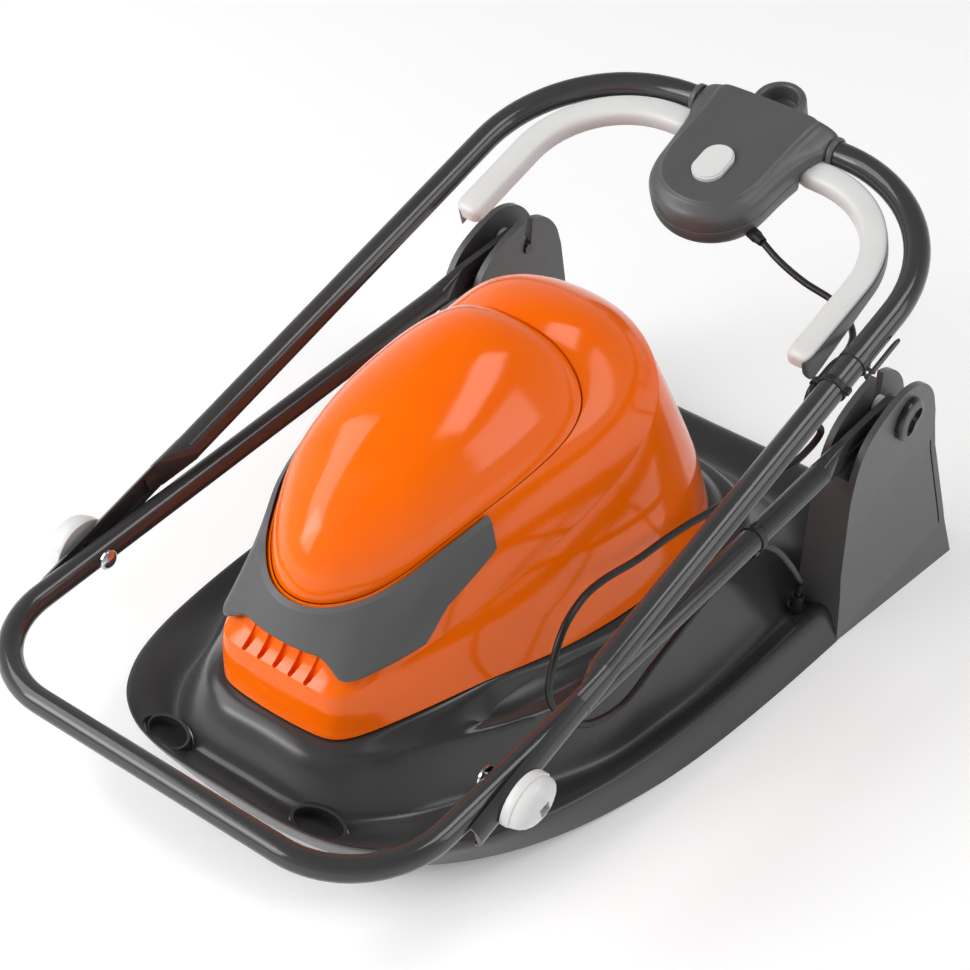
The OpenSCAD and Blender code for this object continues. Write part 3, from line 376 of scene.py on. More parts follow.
# motor cable: three held stretches of one lead, box to clip, clip to clip, clip to deck;
# its clips hold it on the inner side of the upper tube and under the lower one
eyeReach = plan["cable"] / 2 + plan["eyeGap"]
upEye = np.array((plan["upHalf"] - (plan["upTube"] / 2 + eyeReach), plan["clipU"], plan["clipN"]))
lowEye = np.array((plan["lowHalf"], plan["lowClipV"], -(plan["lowTube"] / 2 + eyeReach)))
gland = np.array(plan["gland"])
cableRoutes = {
    "leadUpper": [onUpper(p) for p in (
        (62.4, bar - 101.9, -17), (84, bar - 110, -21), (110, bar - 115, -27),
        (146, bar - 120, -31), (172, bar - 140, -31), (184, bar - 170, -20),
        upEye + (0, 24, -1), upEye + (0, 10, 0), upEye)],
    "leadLoop": [
        onUpper(upEye - (0, 0.5, 0)), onUpper(upEye - (0, 9.5, 0)),
        (188.5, 147, 247), (188, 158, 231), (187, 176, 218), (183, 189, 202), (175, 189, 183),
        (165, 178, 166), (153, 150, 157), (145, 105, 156), (141, 50, 160), (141, 0, 164),
        (144, -50, 176), (147, -84, 178), (151, -113, 164), (156, -130, 126), (165, -126, 104),
        (177, -106, 88), (186, -72, 90), (190, -36, 112), (192, 14, 134), (195, 36, 146),
        onLower(lowEye + (0, 10.5, 0)), onLower(lowEye + (0, 0.5, 0))],
    "leadLower": [
        onLower(lowEye - (0, 0.5, 0)), onLower(lowEye - (0, 10.5, 0.7)),
        (200, 111, 138), (202, 135, 109), (199, 160, 78),
        gland + (3, -3, 34), gland + (0, 0, 20), gland + (0, 0, 9)],
}


def makeLead(name, stands, steps=8):
    line = openCurve(cableRoutes[name], steps)
    lead = dress(tubeAlong(name, line, plan["cable"] / 2), "pvcCableSheath")
    path = toFrame(line)
    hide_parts(stands)
    tuple(path[0])
    [tuple(p) for p in path]
    return lead, path


upperLead, _ = makeLead("leadUpper", "cable_upper")
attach(upperLead, "upper_handle")
loopLead, _ = makeLead("leadLoop", "cable_loop", 16)
tuple(toFrame((144, -130, 135)))
tuple(toFrame((169.6, -130, 115.8)))
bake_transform(loopLead)
lowerLead, lowerPath = makeLead("leadLower", "cable_lower")
tuple(lowerPath[0])
tuple(lowerPath[-1])
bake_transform(lowerLead)
print("leads laid")

# outlines of deck and hood: stations from the nose, 0, along the right side to the rear, 12
lastStation = 12

# deck: a moulded tray
deckForm = {
    "wall": 4,
    "rim": 32,
    "half": 60,
    "holeRadius": 60,
    "holeHigh": 88,
    "seatDrop": 0.9,
    "plateau": [(0, -281, 83), (53, -278, 83), (88, -246, 84), (112, -188, 85), (138, -133, 87.5),
                (160, -62, 87), (162, 0, 88), (158, 50, 88), (152, 130, 87), (136, 178, 86),
                (106, 214, 85), (56, 236, 84), (0, 240, 84)],
    # where the slope from the hood meets the flat shoulder; no shoulder at the front
    "fold": [(0, -273, 95), (47, -271, 95), (78, -249, 95.5), (105, -194, 90.5), (116, -160, 89),
             (123, -112, 88.5), (133, -55, 88), (140, 20, 88.4), (137, 95, 88.2), (121, 155, 87.6),
             (95, 201, 87), (51, 225, 86.5), (0, 231, 86.5)],
    "valley": [(0, -294, 54), (71, -288, 53), (111, -244, 48), (133, -187, 40), (160, -130, 30),
               (177, -70, 24), (182, -10, 21), (186, 50, 20), (184, 140, 20), (176, 200, 22),
               (154, 246, 34), (112, 272, 42), (0, 280, 44)],
    "crest": [(0, -322, 37), (75, -318, 35), (122, -298, 32), (156, -259, 25), (178, -205, 17),
              (194, -130, 9), (203, -50, 4), (207, 50, 1), (208, 150, 0), (208, 230, 0),
              (204, 322, 6), (150, 342, 13), (0, 344, 14)],
    "edge": [(0, -293, 22), (80, -282, 20), (130, -247, 15), (165, -195, 9), (190, -131, 4),
             (207, -57, 1), (216, 10, 0), (221, 90, 0), (223, 170, 0), (223, 240, 0),
             (219, 334, 0), (155, 352, 0), (0, 352, 0)],
    "cup": {"x": 75, "y": -296, "z": 59, "turn": (16, 4, 12), "long": 47.7, "wide": 28.7,
            "floor": -7.3, "slope": 32, "tall": 40},
    "bracketNotch": {"inner": 177.4, "wide": 80, "from": 199.4, "to": 389, "low": -1, "high": 129},
    "shoulderFades": (3.1, 4),
    "creases": {"fold": 0.55, "plateau": 0.45, "lip": 0.6},
}

# hood: base, ridge, crease and seam are its outlines from the foot up
hoodForm = {
    "wall": 13,
    "half": 44,
    "base": [(0, -262, 100), (36, -260, 100), (60, -253, 101), (80, -215, 107), (95, -176, 111),
             (109, -130, 113), (122, -72, 106), (130, 20, 97), (127, 95, 96), (112, 150, 96),
             (86, 192, 95), (46, 214, 95), (0, 222, 95)],
    "ridge": [(0, -261, 119), (35, -260, 119), (61, -254, 120), (77, -216, 126), (90, -178, 131),
              (102, -127, 138), (114, -68, 143), (121, 18, 149), (121, 76, 154), (109, 127, 158),
              (86, 160, 162), (46, 181, 165), (0, 188, 166)],
    "crease": [(0, -259, 142), (34, -259, 142), (60, -254, 143), (71, -215, 150), (81, -178, 160),
               (91, -121, 172), (100, -61, 187), (105, 14, 210), (103, 54, 230), (95, 83, 250),
               (78, 97, 274), (45, 110, 290), (0, 117, 293)],
    "seam": [(0, -240, 198), (24, -233, 200), (46, -213, 208), (61, -189, 221), (71, -164, 235),
             (79, -128, 247), (85, -80, 257), (85, -30, 265), (78, 0, 276), (64, 13, 291),
             (44, 15, 308), (22, 11, 319), (0, 8, 323)],
    "bulge": [0, 0, 0, 1, 2, 3, 4, 5, 7, 9, 10, 11, 11],
    "bulgeGain": 5,
    "noseHollow": [6.5, 6.5, 5, 1, 0, 0, 0, 0, 0, 0, 0, 0, 0],
    "hollowSpan": 0.56,
    "cornerRounds": 3,
    "middle": (-60, 40),
    "bubbleMid": (0, -100, 250),
    "capRows": (0.94, 0.84, 0.7, 0.56, 0.45, 0.35, 0.24, 0.13, 0.04),
    "capSwell": 1.5,
    "flankRows": (0.95, 0.82, 0.62, 0.4, 0.2, 0.06),
    "flankSwell": 0.8,
    "creases": {"lip": 0.8, "shoulder": 0.75, "ridge": 0.2, "foot": 0.7},
    "slots": 5,
    "slotPitch": 15,
    "slot": [(-4, -5), (-2, -6.5), (0, -5), (7.5, 18), (-1, 18)],
    "slotAt": (-258, 148),
    "slotLean": -19,
    "slotDeep": 9,
    "slotOut": 16,
}


def band(a, b, t, rise, inward):
    p = a + (b - a) * t
    away = (p - (0, plan["motorY"], 0)) * (1, 1, 0)
    return p - unit(away) * inward + (0, 0, rise)


def cupPlace(side):
    c = deckForm["cup"]
    turn = Matrix.Rotation(math.radians(side * c["turn"][2]), 3, "Z") @ \
        Matrix.Rotation(math.radians(side * c["turn"][1]), 3, "Y") @ \
        Matrix.Rotation(math.radians(c["turn"][0]), 3, "X")
    return lambda p: np.array(turn @ Vector(p)) + (side * c["x"], c["y"], c["z"])


def makeDeck(f):
    half, w = f["half"], f["wall"]
    turns = [math.radians(180 * i / lastStation) for i in range(lastStation + 1)]
    r = f["holeRadius"]
    hole = [(r * math.sin(a), plan["motorY"] - r * math.cos(a), f["holeHigh"]) for a in turns]
    h = mirroredLoop(hole, half)
    q = mirroredLoop(hoodForm["base"], half) - (0, 0, f["seatDrop"])
    d = mirroredLoop(f["fold"], half)
    p = mirroredLoop(f["plateau"], half)
    v = mirroredLoop(f["valley"], half)
    c = mirroredLoop(f["crest"], half) + (0, 0, f["rim"])
    b = mirroredLoop(f["edge"], half)
    # two outlines, share of the way between them, lift, step inwards: out to the lip and back below
    rows = [(h, h, 0, 0, 0), (h, q, 0.3, -5, 0), (q, q, 0, 0, 9), (q, q, 0, 0, -3), (d, d, 0, 0, 0),
            (d, p, 0.5, 0.3, 0), (p, p, 0, 0.2, 0), (p, v, 0.3, 0.3, 0), (p, v, 0.68, -0.2, 0),
            (p, v, 1, 0.8, 0), (v, c, 0.42, 0, 0), (v, c, 0.7, 0.5, 0), (v, c, 1, 0, 0),
            (c, b, 0.35, 0.5, -1.5), (c, b, 0.7, -1, -0.5), (b, b, 0, 0, 0), (b, b, 0, 0, w),
            (c, b, 0.6, -3, w), (c, c, 0, -w - 1, w / 2), (v, v, 0, -w, w / 2),
            (p, v, 0.55, -w / 2, w), (p, p, 0, -w, w), (q, q, 0, -w, 8), (h, q, 0.3, -w - 5, 0),
            (h, h, 0, -w, 0)]
    # the shoulder is crisp beside the hood and melts into the round front
    station = lastStation - np.abs(lastStation - np.arange(2 * half) / half * lastStation)
    shoulder = np.interp(station, f["shoulderFades"], (0, 1))
    foldRow, plateauRow, lipRow = 4, 6, 15
    sharp = f["creases"]
    creases = {foldRow: shoulder * sharp["fold"], plateauRow: shoulder * sharp["plateau"],
               lipRow: sharp["lip"], lipRow + 1: sharp["lip"]}
    deck = skinRings("deckTray", [band(*row) for row in rows], loop=True, creases=creases)
    subdivide(deck, 2)
    cup, notch = f["cup"], f["bracketNotch"]
    slope = math.radians(cup["slope"])
    cutters = []
    for s in (-1, 1):
        # a plug with a sloping floor that stays behind the front wall
        place, outline = cupPlace(s), oval(cup["long"] / 2, cup["wide"] / 2)
        low = [place((x, y, (cup["floor"] - y * math.sin(slope)) / math.cos(slope)))
               for x, y in outline]
        high = [place((x, y, cup["tall"])) for x, y in outline]
        cutters.append(skinRings("cupCut", [low, high]))
    for s in (-1, 1):
        outline = rectangle(s * notch["inner"], notch["from"],
                            s * (notch["inner"] + notch["wide"]), notch["to"])
        cutters.append(prism("notchCut", outline, notch["low"], notch["high"], lambda corner: corner))
    return cutAway(deck, cutters)


standFor(makeDeck(deckForm), "deck", "mouldedDeckPolypropylene", "black_deck", "deck_shell")
print("deck made")


def rounded(loop, rounds):
    # eases the corners of a closed line
    for _ in range(rounds):
        loop = loop / 2 + (np.roll(loop, 1, 0) + np.roll(loop, -1, 0)) / 4
    return loop


def hoodBand(a, b, t, rise, inward, swell=0):
    f, n = hoodForm, len(a)
    i = np.arange(n)
    s = np.where(i <= n / 2, i / (n / 2), 2 - i / (n / 2)) * lastStation
    stations = range(lastStation + 1)
    g = np.interp(s, stations, f["bulge"])
    p = a + (b - a) * t
    # the nose is hollowed to a shelf under the trim
    hollow = np.interp(s, stations, f["noseHollow"])[:, None]
    inward = inward + swell * (hollow * math.sin(math.pi * min(t / f["hollowSpan"], 1)))
    # inwards is towards a line along the hood's middle
    front, rear = f["middle"]
    centreY = np.where(p[:, 1] < front, front, np.minimum(p[:, 1], rear))
    away = np.stack((p[:, 0], p[:, 1] - centreY, np.zeros(n)), 1)
    lift = np.stack((np.zeros(n), np.zeros(n), rise + swell * f["bulgeGain"] * t * (1 - t) * g), 1)
    return p - unit(away) * inward + lift


def makeHood(f):
    half, w = f["half"], f["wall"]
    b, r, c = (rounded(mirroredLoop(f[line], half), f["cornerRounds"])
               for line in ("base", "ridge", "crease"))
    s = mirroredLoop(f["seam"], half)
    mid = np.array([f["bubbleMid"]] * len(s), float)
    # seat under the bubble, lip, cap, shoulder, flank, foot, then back up inside
    rows = [(s, mid, 0.9, -24, 0), (s, mid, 0.5, -17, 0), (s, mid, 0.09, -9, 0), (s, s, 0, -5, 1.2),
            (s, s, 0, -1.5, 0.3), (c, s, 0.995, 0, 0, 1)]
    lip = len(rows) - 1
    rows += [(c, s, t, 0, -f["capSwell"] * math.sin(math.pi * t), 1) for t in f["capRows"]]
    rows += [(c, s, 0, 0, 0)]
    shoulder = len(rows) - 1
    rows += [(r, c, t, 0, -f["flankSwell"] * math.sin(math.pi * t)) for t in f["flankRows"]]
    rows += [(r, c, 0, 0, 0)]
    ridge = len(rows) - 1
    rows += [(b, r, 0.9, 0, 0), (b, r, 0.5, 0, 0), (b, r, 0.12, 0, 0), (b, r, 0, 0, 0)]
    foot = len(rows) - 1
    rows += [(b, r, 0, 0, w), (b, r, 0.95, 0, w), (r, c, 0.9, -1, w + 1), (c, s, 0.4, -w, w),
             (c, s, 0.92, -w - 3, w + 2), (s, mid, 0.5, -17 - w, 0), (s, mid, 0.9, -24 - w, 0)]
    sharp = f["creases"]
    creases = {lip: sharp["lip"], shoulder: sharp["shoulder"], ridge: sharp["ridge"],
               foot: sharp["foot"], foot + 1: sharp["foot"]}
    hood = skinRings("hoodShell", [hoodBand(*row) for row in rows], creases=creases)
    subdivide(hood, 2)
    lean = math.radians(f["slotLean"])
    slotY, slotZ = f["slotAt"]
    cutters = []
    for i in range(f["slots"]):
        x = (i - (f["slots"] - 1) / 2) * f["slotPitch"]

        def place(p, x=x):
            # outline x across, y up the slope; the third runs out of the nose
            y, z = -p[2], p[1]
            return (x + p[0], slotY + y * math.cos(lean) - z * math.sin(lean),
                    slotZ + y * math.sin(lean) + z * math.cos(lean))
        cutters.append(prism("slotCut", f["slot"], -f["slotDeep"], f["slotOut"], place))
    return cutAway(hood, cutters)


standFor(makeHood(hoodForm), "deck", "polishedOrangeAbs", "orange_gloss", "motor_hood")

# bubble: a dome over the hood's seam
bubbleForm = {
    "up": (0, -0.45, 0.89),
    "high": 70,
    "lean": 12,
    "wall": 2.6,
    "inset": 0.006,
    "sink": 0.6,
    "outerRows": (87.5, 83, 76, 67, 57, 47, 37, 27, 18, 9, 2.5, 0),
    "innerRows": (0, 8, 28, 50, 84),
    "edgeCreases": (0.9, 0.7),
}


def makeBubble(f):
    mid, up = np.array(hoodForm["bubbleMid"], float), unit(np.array(f["up"]))
    stations = np.array(hoodForm["seam"], float)
    ring = mirroredLoop(stations + (mid - stations) * f["inset"] - (0, 0, f["sink"]), hoodForm["half"])
    reach = ring - mid
    high = reach @ up
    flat = reach - np.outer(high, up)
    # the seam's tilt goes all the way up, its waves fade out before the crown
    tilt = flat @ np.linalg.lstsq(flat, high, rcond=None)[0]
    thin = 1 - f["wall"] / np.linalg.norm(reach, axis=1, keepdims=True)
    lean = math.radians(f["lean"])

    def dome(angle, spread, crown):
        a = lean + math.radians(angle) * (1 - f["lean"] / 90)
        wide = math.cos(a) / math.cos(lean)
        climb = (math.sin(a) - math.sin(lean)) / (1 - math.sin(lean))
        rise = np.outer(tilt * wide + (high - tilt) * wide ** 2 + crown * climb, up)
        return mid + flat * spread * wide + rise
    rows = [dome(a, 1, f["high"]) for a in f["outerRows"]]
    edge = len(rows) - 1
    rows += [dome(a, thin, f["high"] - f["wall"]) for a in f["innerRows"]]
    outer, inner = f["edgeCreases"]
    return subdivide(skinRings("bubbleCover", rows, creases={edge: outer, edge + 1: inner}), 2)


standFor(makeBubble(bubbleForm), "deck", "polishedOrangeAbs", "orange_gloss", "front_bubble")

# trim: a band under the bubble, from the seam down to a share of the way to the crease
trimForm = {
    "half": 88,
    "last": 38,
    "top": 0.03,
    "drop": [(0, 0.54), (1.05, 0.55), (1.3, 0.6), (1.8, 0.77), (2.1, 0.8), (3, 0.86), (3.85, 0.88),
             (4.2, 0.64), (4.6, 0.55), (5, 0.46), (5.2, 0.4)],
    "lift": 2.6,
    "thick": 3.4,
    "bevel": 4.5,
    "sharp": 24,
}


def makeTrim(f):
    half, lift, t = f["half"], f["lift"], f["thick"]
    b, s = mirroredLoop(hoodForm["crease"], half), mirroredLoop(hoodForm["seam"], half)
    count = 2 * half
    rows = []
    for k in range(-f["last"], f["last"] + 1):
        i = k % count
        drop = np.interp(abs(k) / half * lastStation, *zip(*f["drop"]))
        along = s[(i + 1) % count] - s[i - 1]
        out = unit(np.cross(b[i] - s[i], along))
        low, high = s[i] + (b[i] - s[i]) * (f["top"] + drop), s[i] + (b[i] - s[i]) * f["top"]
        wide = np.linalg.norm(low - high)
        # share of the way down and height off the hood: back, lower edge, crowned face, bevel
        across = [(0, lift), (0.5, lift), (1, lift), (1, lift + t * 0.7), (0.97, lift + t),
                  (0.5, lift + 0.2 + t), (f["bevel"] / wide, lift + t), (0, lift + 0.1 + t * 0.1)]
        rows.append([high + (low - high) * u + out * n for u, n in across])
    return settle(skinRings("noseTrim", rows), f["sharp"])


standFor(makeTrim(trimForm), "deck", "sparkGrainedGreyAbs", "grey_satin", "front_trim")
print("hood, bubble and trim made")

# switch box: stations run from the button end to the top bar
boxForm = {
    "half": 40,
    "top": 22,
    "low": 23,
    "wall": 3,
    "part": -2,
    "gap": 0.4,
    "middleU": 590,
    "outline": [(0, 508), (18, 511), (34, 520), (46, 534), (52, 552), (54, 572), (56, 592), (59, 610),
                (63, 621), (66, 630), (66, 653), (40, 656), (0, 656)],
    "brow": [(0, 520), (15, 522), (28, 529), (38, 541), (43, 556), (45, 572), (45, 590), (46, 606),
             (47, 620), (48, 632), (48, 650), (30, 652), (0, 652)],
    "sleeve": [0, 0, 0, 0, 0, 0, 0, 2, 4, 5, 5, 1, 0],
    "lidCreases": {2: 0.35, 3: 0.45, 5: 0.3, 7: 0.8, 8: 0.8},
    "trayCreases": {3: 0.8, 4: 0.8},
    "button": {"long": 42, "wide": 28, "gap": 0.5, "u": 564, "reach": 20},
    "barHole": {"gap": 0.2, "reach": 200},
    "bailSlot": {"x": 62, "wide": 28, "deep": 23, "gap": 3, "low": -60, "high": 2.5},
    "inletHole": {"radius": 24.1, "reach": 60},
}


def boxRing(line, n, inset, dip):
    pts = np.array(boxForm[line], float)
    away = unit(pts - (0, boxForm["middleU"]))
    flat = np.maximum(pts[:, 0] - inset * away[:, 0], 0), pts[:, 1] - inset * away[:, 1]
    stations = np.stack((*flat, n - dip * np.array(boxForm["sleeve"], float)), 1)
    return [onUpper(p) for p in mirroredLoop(stations, boxForm["half"])]


def capsule(b, grow, steps=24):
    r, h = b["wide"] / 2 + grow, (b["long"] - b["wide"]) / 2
    ends = [(1, 0), (-1, 180)]
    return [(r * math.cos(math.radians(a0 + 180 * k / steps)),
             b["u"] + s * h + r * math.sin(math.radians(a0 + 180 * k / steps)))
            for s, a0 in ends for k in range(steps + 1)]


def boxCutters(f):
    hole, slot, mouth = f["barHole"], f["bailSlot"], f["inletHole"]
    r = plan["upTube"] / 2 + hole["gap"]
    made = [prism("barCut", [(bar + y, z) for y, z in oval(r, r)], -hole["reach"], hole["reach"],
                  lambda p: onUpper((p[2], p[0], p[1])))]
    u0 = plan["rodU"] - slot["deep"] / 2 - slot["gap"]
    u1 = u0 + slot["deep"] + 2 * slot["gap"]
    for s in (-1, 1):
        x0 = plan["bailX"] + s * slot["x"] - slot["wide"] / 2
        outline = rectangle(x0, u0, x0 + slot["wide"], u1)
        made.append(prism("bailCut", outline, slot["low"], slot["high"], onUpper))
    x, u, _ = plan["inlet"]
    outline = [(x + a, u + b) for a, b in oval(mouth["radius"], mouth["radius"])]
    made.append(prism("inletCut", outline, -mouth["reach"], mouth["reach"], onUpper))
    return made


def makeBox(f):
    # rows: outline, height, step inwards, share of the dip towards the sleeves
    t, w, part = f["top"], f["wall"], f["part"]
    rows = [("brow", t - 0.5, 14, 0), ("brow", t, 4, 0.1), ("brow", t - 0.6, 1, 0.3),
            ("brow", t - 3, -0.6, 0.5), ("outline", t - 7, 2.4, 0.6), ("outline", t - 13, 0, 0.6),
            ("outline", part + 0.8, 0, 0), ("outline", part, 0.5, 0), ("outline", part, w, 0),
            ("outline", t - 13 - w, w, 0.6), ("brow", t - 4 - w, w - 1, 0.5),
            ("brow", t - 0.5 - w, 14, 0)]
    rings = [boxRing(*row) for row in rows]
    lid = subdivide(skinRings("switchLid", rings, creases=f["lidCreases"]), 2)
    b = f["button"]
    cutters = boxCutters(f)
    cutters.append(prism("buttonCut", capsule(b, b["gap"]), t - b["reach"], t + b["reach"], onUpper))
    cutAway(lid, cutters)
    z, low = part - f["gap"], f["low"]
    rows = [("outline", w - low, 40, 0), ("outline", w - low, 11, 0), ("outline", z - 10, w + 1, 0),
            ("outline", z, w, 0), ("outline", z, 0.5, 0), ("outline", z - 0.8, 0, 0),
            ("outline", z - 10, 0.8, 0), ("outline", 3.5 - low, 4, 0), ("outline", -low, 10, 0),
            ("outline", -low, 40, 0)]
    rings = [boxRing(*row) for row in rows]
    tray = subdivide(skinRings("switchTray", rings, creases=f["trayCreases"]), 2)
    cutAway(tray, boxCutters(f))
    return lid, tray


switchLid, switchTray = makeBox(boxForm)
standFor(switchLid, "upper_handle", "sparkGrainedGreyAbs", "grey_satin", "switch_box_top")
standFor(switchTray, "upper_handle", "sparkGrainedGreyAbs", "grey_satin", "switch_box_base")

# moulded collars where the top bar leaves the box
sleeveForm = {"out": 66.4, "wide": 5, "over": 2.6, "gap": 0.25, "sides": 48, "sharp": 40}


def makeSleeves(f):
    inner, outer, w = plan["upTube"] / 2 + f["gap"], plan["upTube"] / 2 + f["over"], f["wide"]
    profile = [(inner, 0), (outer - 0.8, 0), (outer, 0.9), (outer, w - 1.2), (outer - 0.9, w),
               (inner, w)]
    turns = [math.tau * k / f["sides"] for k in range(f["sides"])]
    for side, name in ((-1, "barSleeveLeft"), (1, "barSleeveRight")):
        rings = [[onUpper((side * (f["out"] + h), bar + r * math.cos(a), r * math.sin(a)))
                  for a in turns] for r, h in profile]
        sleeve = dress(settle(skinRings(name, rings, loop=True), f["sharp"]), "sparkGrainedGreyAbs")
        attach(sleeve, "upper_handle")


makeSleeves(sleeveForm)

# mains inlet: a rounded collar round a deep socket
inletForm = {
    "profile": [(23.6, -22), (23.7, -21), (23.7, -5.5), (23.4, -3), (22.4, -1.2), (20.8, -0.2),
                (19, 0), (17.4, -0.5), (16.4, -1.8), (16, -4), (16, -15.4), (15.4, -16), (8, -16)],
    "sides": 72,
    "sharp": 50,
}


def makeInlet(f):
    x, u, n = plan["inlet"]

    def place(p):
        return onUpper((x + p[0], u + p[1], n + p[2]))
    return settle(lathe("inletCollar", f["profile"], place, f["sides"]), f["sharp"])


standFor(makeInlet(inletForm), "upper_handle", "sparkGrainedGreyAbs", "grey_satin", "mains_inlet")
print("switch box made")

# bail grips: pale rounded channels, each with a dark strip along its outer side that paints the shade
# inside the channel
bailForm = {
    "bendX": 74, "radius": 91, "endU": 437, "drop": 8, "intoBox": 20, "steps": 26,
    "grip": [(-8, -9), (-10.6, -7.4), (-11.5, -4.5), (-11.5, 2), (-10.4, 5.6), (-7.6, 8.1),
             (-3.5, 9), (6, 9), (9.6, 8.7), (11.2, 7.6), (11.4, 6.2), (10.4, 5.4), (10.2, -7.6),
             (7.6, -9)],
    "shadeStrip": [(9.8, -7.8), (11.2, -8.8), (11.8, -7.4), (11.8, 4.4), (11, 5.2), (9.9, 5)],
    "shadeStripDeeper": 13,
    "tip": [(0, 0.5), (0.8, 0.68), (2.4, 0.84), (5, 0.95), (9, 1)],
}


def bailSpine(f):
    # along the straight, round the bend, into the box: place, outward direction, share of the profile
    top = plan["rodU"] - f["radius"]
    x = f["bendX"] + f["radius"]
    straight = [(x, f["endU"] + d, 1, 0, k) for d, k in f["tip"]]
    first = straight[-1][1]
    straight += [(x, first + (top - first) * t, 1, 0, 1) for t in (0.2, 0.5, 0.8)]
    bend = []
    for k in range(f["steps"] + 1):
        a = math.radians(90 * k / f["steps"])
        bend.append((f["bendX"] + f["radius"] * math.cos(a), top + f["radius"] * math.sin(a),
                     math.cos(a), math.sin(a), 1))
    return straight + bend + [(f["bendX"] - f["intoBox"], plan["rodU"], 0, 1, 1)]


def makeBail(name, side, profile, f, deeper=0):
    # the lower side of the profile can get deeper towards the free end
    rows = []
    top = plan["rodU"] - f["radius"]
    for x, u, ox, ou, k in bailSpine(f):
        low = deeper * min(max((top - u) / (top - f["endU"]), 0), 1)
        ring = []
        for d, h in profile:
            h = h - low if h < 0 else h
            d, h = d * k, h * k
            ring.append(onUpper((plan["bailX"] + side * (x + ox * d), u + ou * d, h - f["drop"])))
        rows.append(ring)
    return subdivide(skinRings(name, rows), 1)


for side, name in ((-1, "Left"), (1, "Right")):
    standFor(makeBail("bailGrip" + name, side, bailForm["grip"], bailForm), "bail", "palePolypropylene",
             "pale_plastic", "lever_" + name.lower())
    # painted shade: a dark strip, deeper towards the free end, stands in for the shadow inside the
    # grip's channel
    shadeStrip = makeBail("bailShadeStrip" + name, side, bailForm["shadeStrip"], bailForm, bailForm["shadeStripDeeper"])
    dress(shadeStrip, "glassFilledNylon")
    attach(shadeStrip, "bail")
print("bail made")

# wing knobs: a leaf-shaped flange under a rounded crown, with a dark grey piece at the floor of the
# crown's notch that paints the shade of a deep hole
knobForm = {
    "long": 25.4, "wide": 16.8, "bow": 27.6, "thinnest": 0.4, "steps": 36, "sharp": 40,
    # height, share of the outline, roundness of the outline
    "rows": [(0, 0.97, 0.05), (0.7, 1, 0.05), (7, 1, 0.05), (7.8, 0.985, 0.06), (8, 0.95, 0.06),
             (11.5, 0.94, 0.08), (14, 0.9, 0.14), (16.6, 0.82, 0.25), (19, 0.69, 0.42),
             (20.8, 0.5, 0.65), (21.7, 0.3, 0.9), (22, 0.12, 1)],
    "notch": {"corners": (-4.5, -6.5, 5.5, 4.5), "from": 15, "to": 40},
    "insert": {"gap": 0.2, "high": 1.6},
}
# pivot caps: a glossy head with a three-lobed recess, on its pin
capForm = {
    "profile": [(4.9, -38), (5, -37.6), (5, 0.4), (18.4, 0.4), (19, 1), (19, 3.4), (18.6, 4.8),
                (17.4, 5.7), (15.5, 6), (8, 6)],
    "lobes": 3, "lobe": 11, "lobeDepth": 0.3, "lobeTurn": 0.3, "steps": 90,
    "recess": 2.4, "clear": 20, "sharp": 40,
}


def makeKnob(name, side, f):
    def place(p):
        # leaf length along the upper tube, leaf width across it, height outwards
        return onUpper((side * (plan["knobFace"] + p[2]), p[0], p[1]))
    rows = []
    for h, share, soft in f["rows"]:
        ring = []
        for k in range(2 * f["steps"]):
            a = math.tau * (k + 0.5) / (2 * f["steps"])
            u = f["long"] * math.cos(a)
            leaf = max(math.sqrt(f["bow"] ** 2 - u ** 2) - (f["bow"] - f["wide"]), f["thinnest"])
            v = leaf * (1 - soft) + f["wide"] * abs(math.sin(a)) * soft
            ring.append(place((u * share, math.copysign(v, math.sin(a)) * share, h)))
        rows.append(ring)
    knob = settle(skinRings(name, rows), f["sharp"])
    notch, low = f["notch"], f["notch"]["from"]
    outline = rectangle(*notch["corners"])
    # painted shade: a dark grey piece at the notch's floor stands in for the shadow of a deep hole
    insert = prism(name + "ShadeInsert", outline, low + f["insert"]["gap"], low + f["insert"]["high"], place)
    settle(insert, f["sharp"])
    return cutAway(knob, [prism("notchCut", outline, low, notch["to"], place)], f["sharp"]), insert


def makeCap(name, side, f):
    y0, z0 = plan["pivot"]

    def place(p):
        return (side * (plan["bracketFace"] + p[2]), y0 + p[0], z0 + p[1])
    head = settle(lathe(name, f["profile"], place), f["sharp"])
    lobes = []
    for k in range(f["steps"]):
        a = math.tau * k / f["steps"]
        r = f["lobe"] * (1 + f["lobeDepth"] * math.cos(f["lobes"] * a))
        lobes.append((r * math.cos(a + f["lobeTurn"]), r * math.sin(a + f["lobeTurn"])))
    top = f["profile"][-1][1]
    recess = prism("lobeCut", lobes, top - f["recess"], top + f["clear"], place)
    return cutAway(head, [recess], f["sharp"])


for side, name in ((-1, "Left"), (1, "Right")):
    knob, insert = makeKnob("wingKnob" + name, side, knobForm)
    standFor(knob, "knob_" + name.lower(), "palePolypropylene", "pale_plastic",
             "wing_knob_" + name.lower())
    # the dark grey notch piece paints shade, it is not a separate part of the knob
    dress(insert, "sparkGrainedGreyAbs")
    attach(insert, "knob_" + name.lower())
    standFor(makeCap("pivotCap" + name, side, capForm), "deck", "glossyNylonCap", "grey_satin",
             "pivot_bolt_" + name.lower())
print("knobs and caps made")

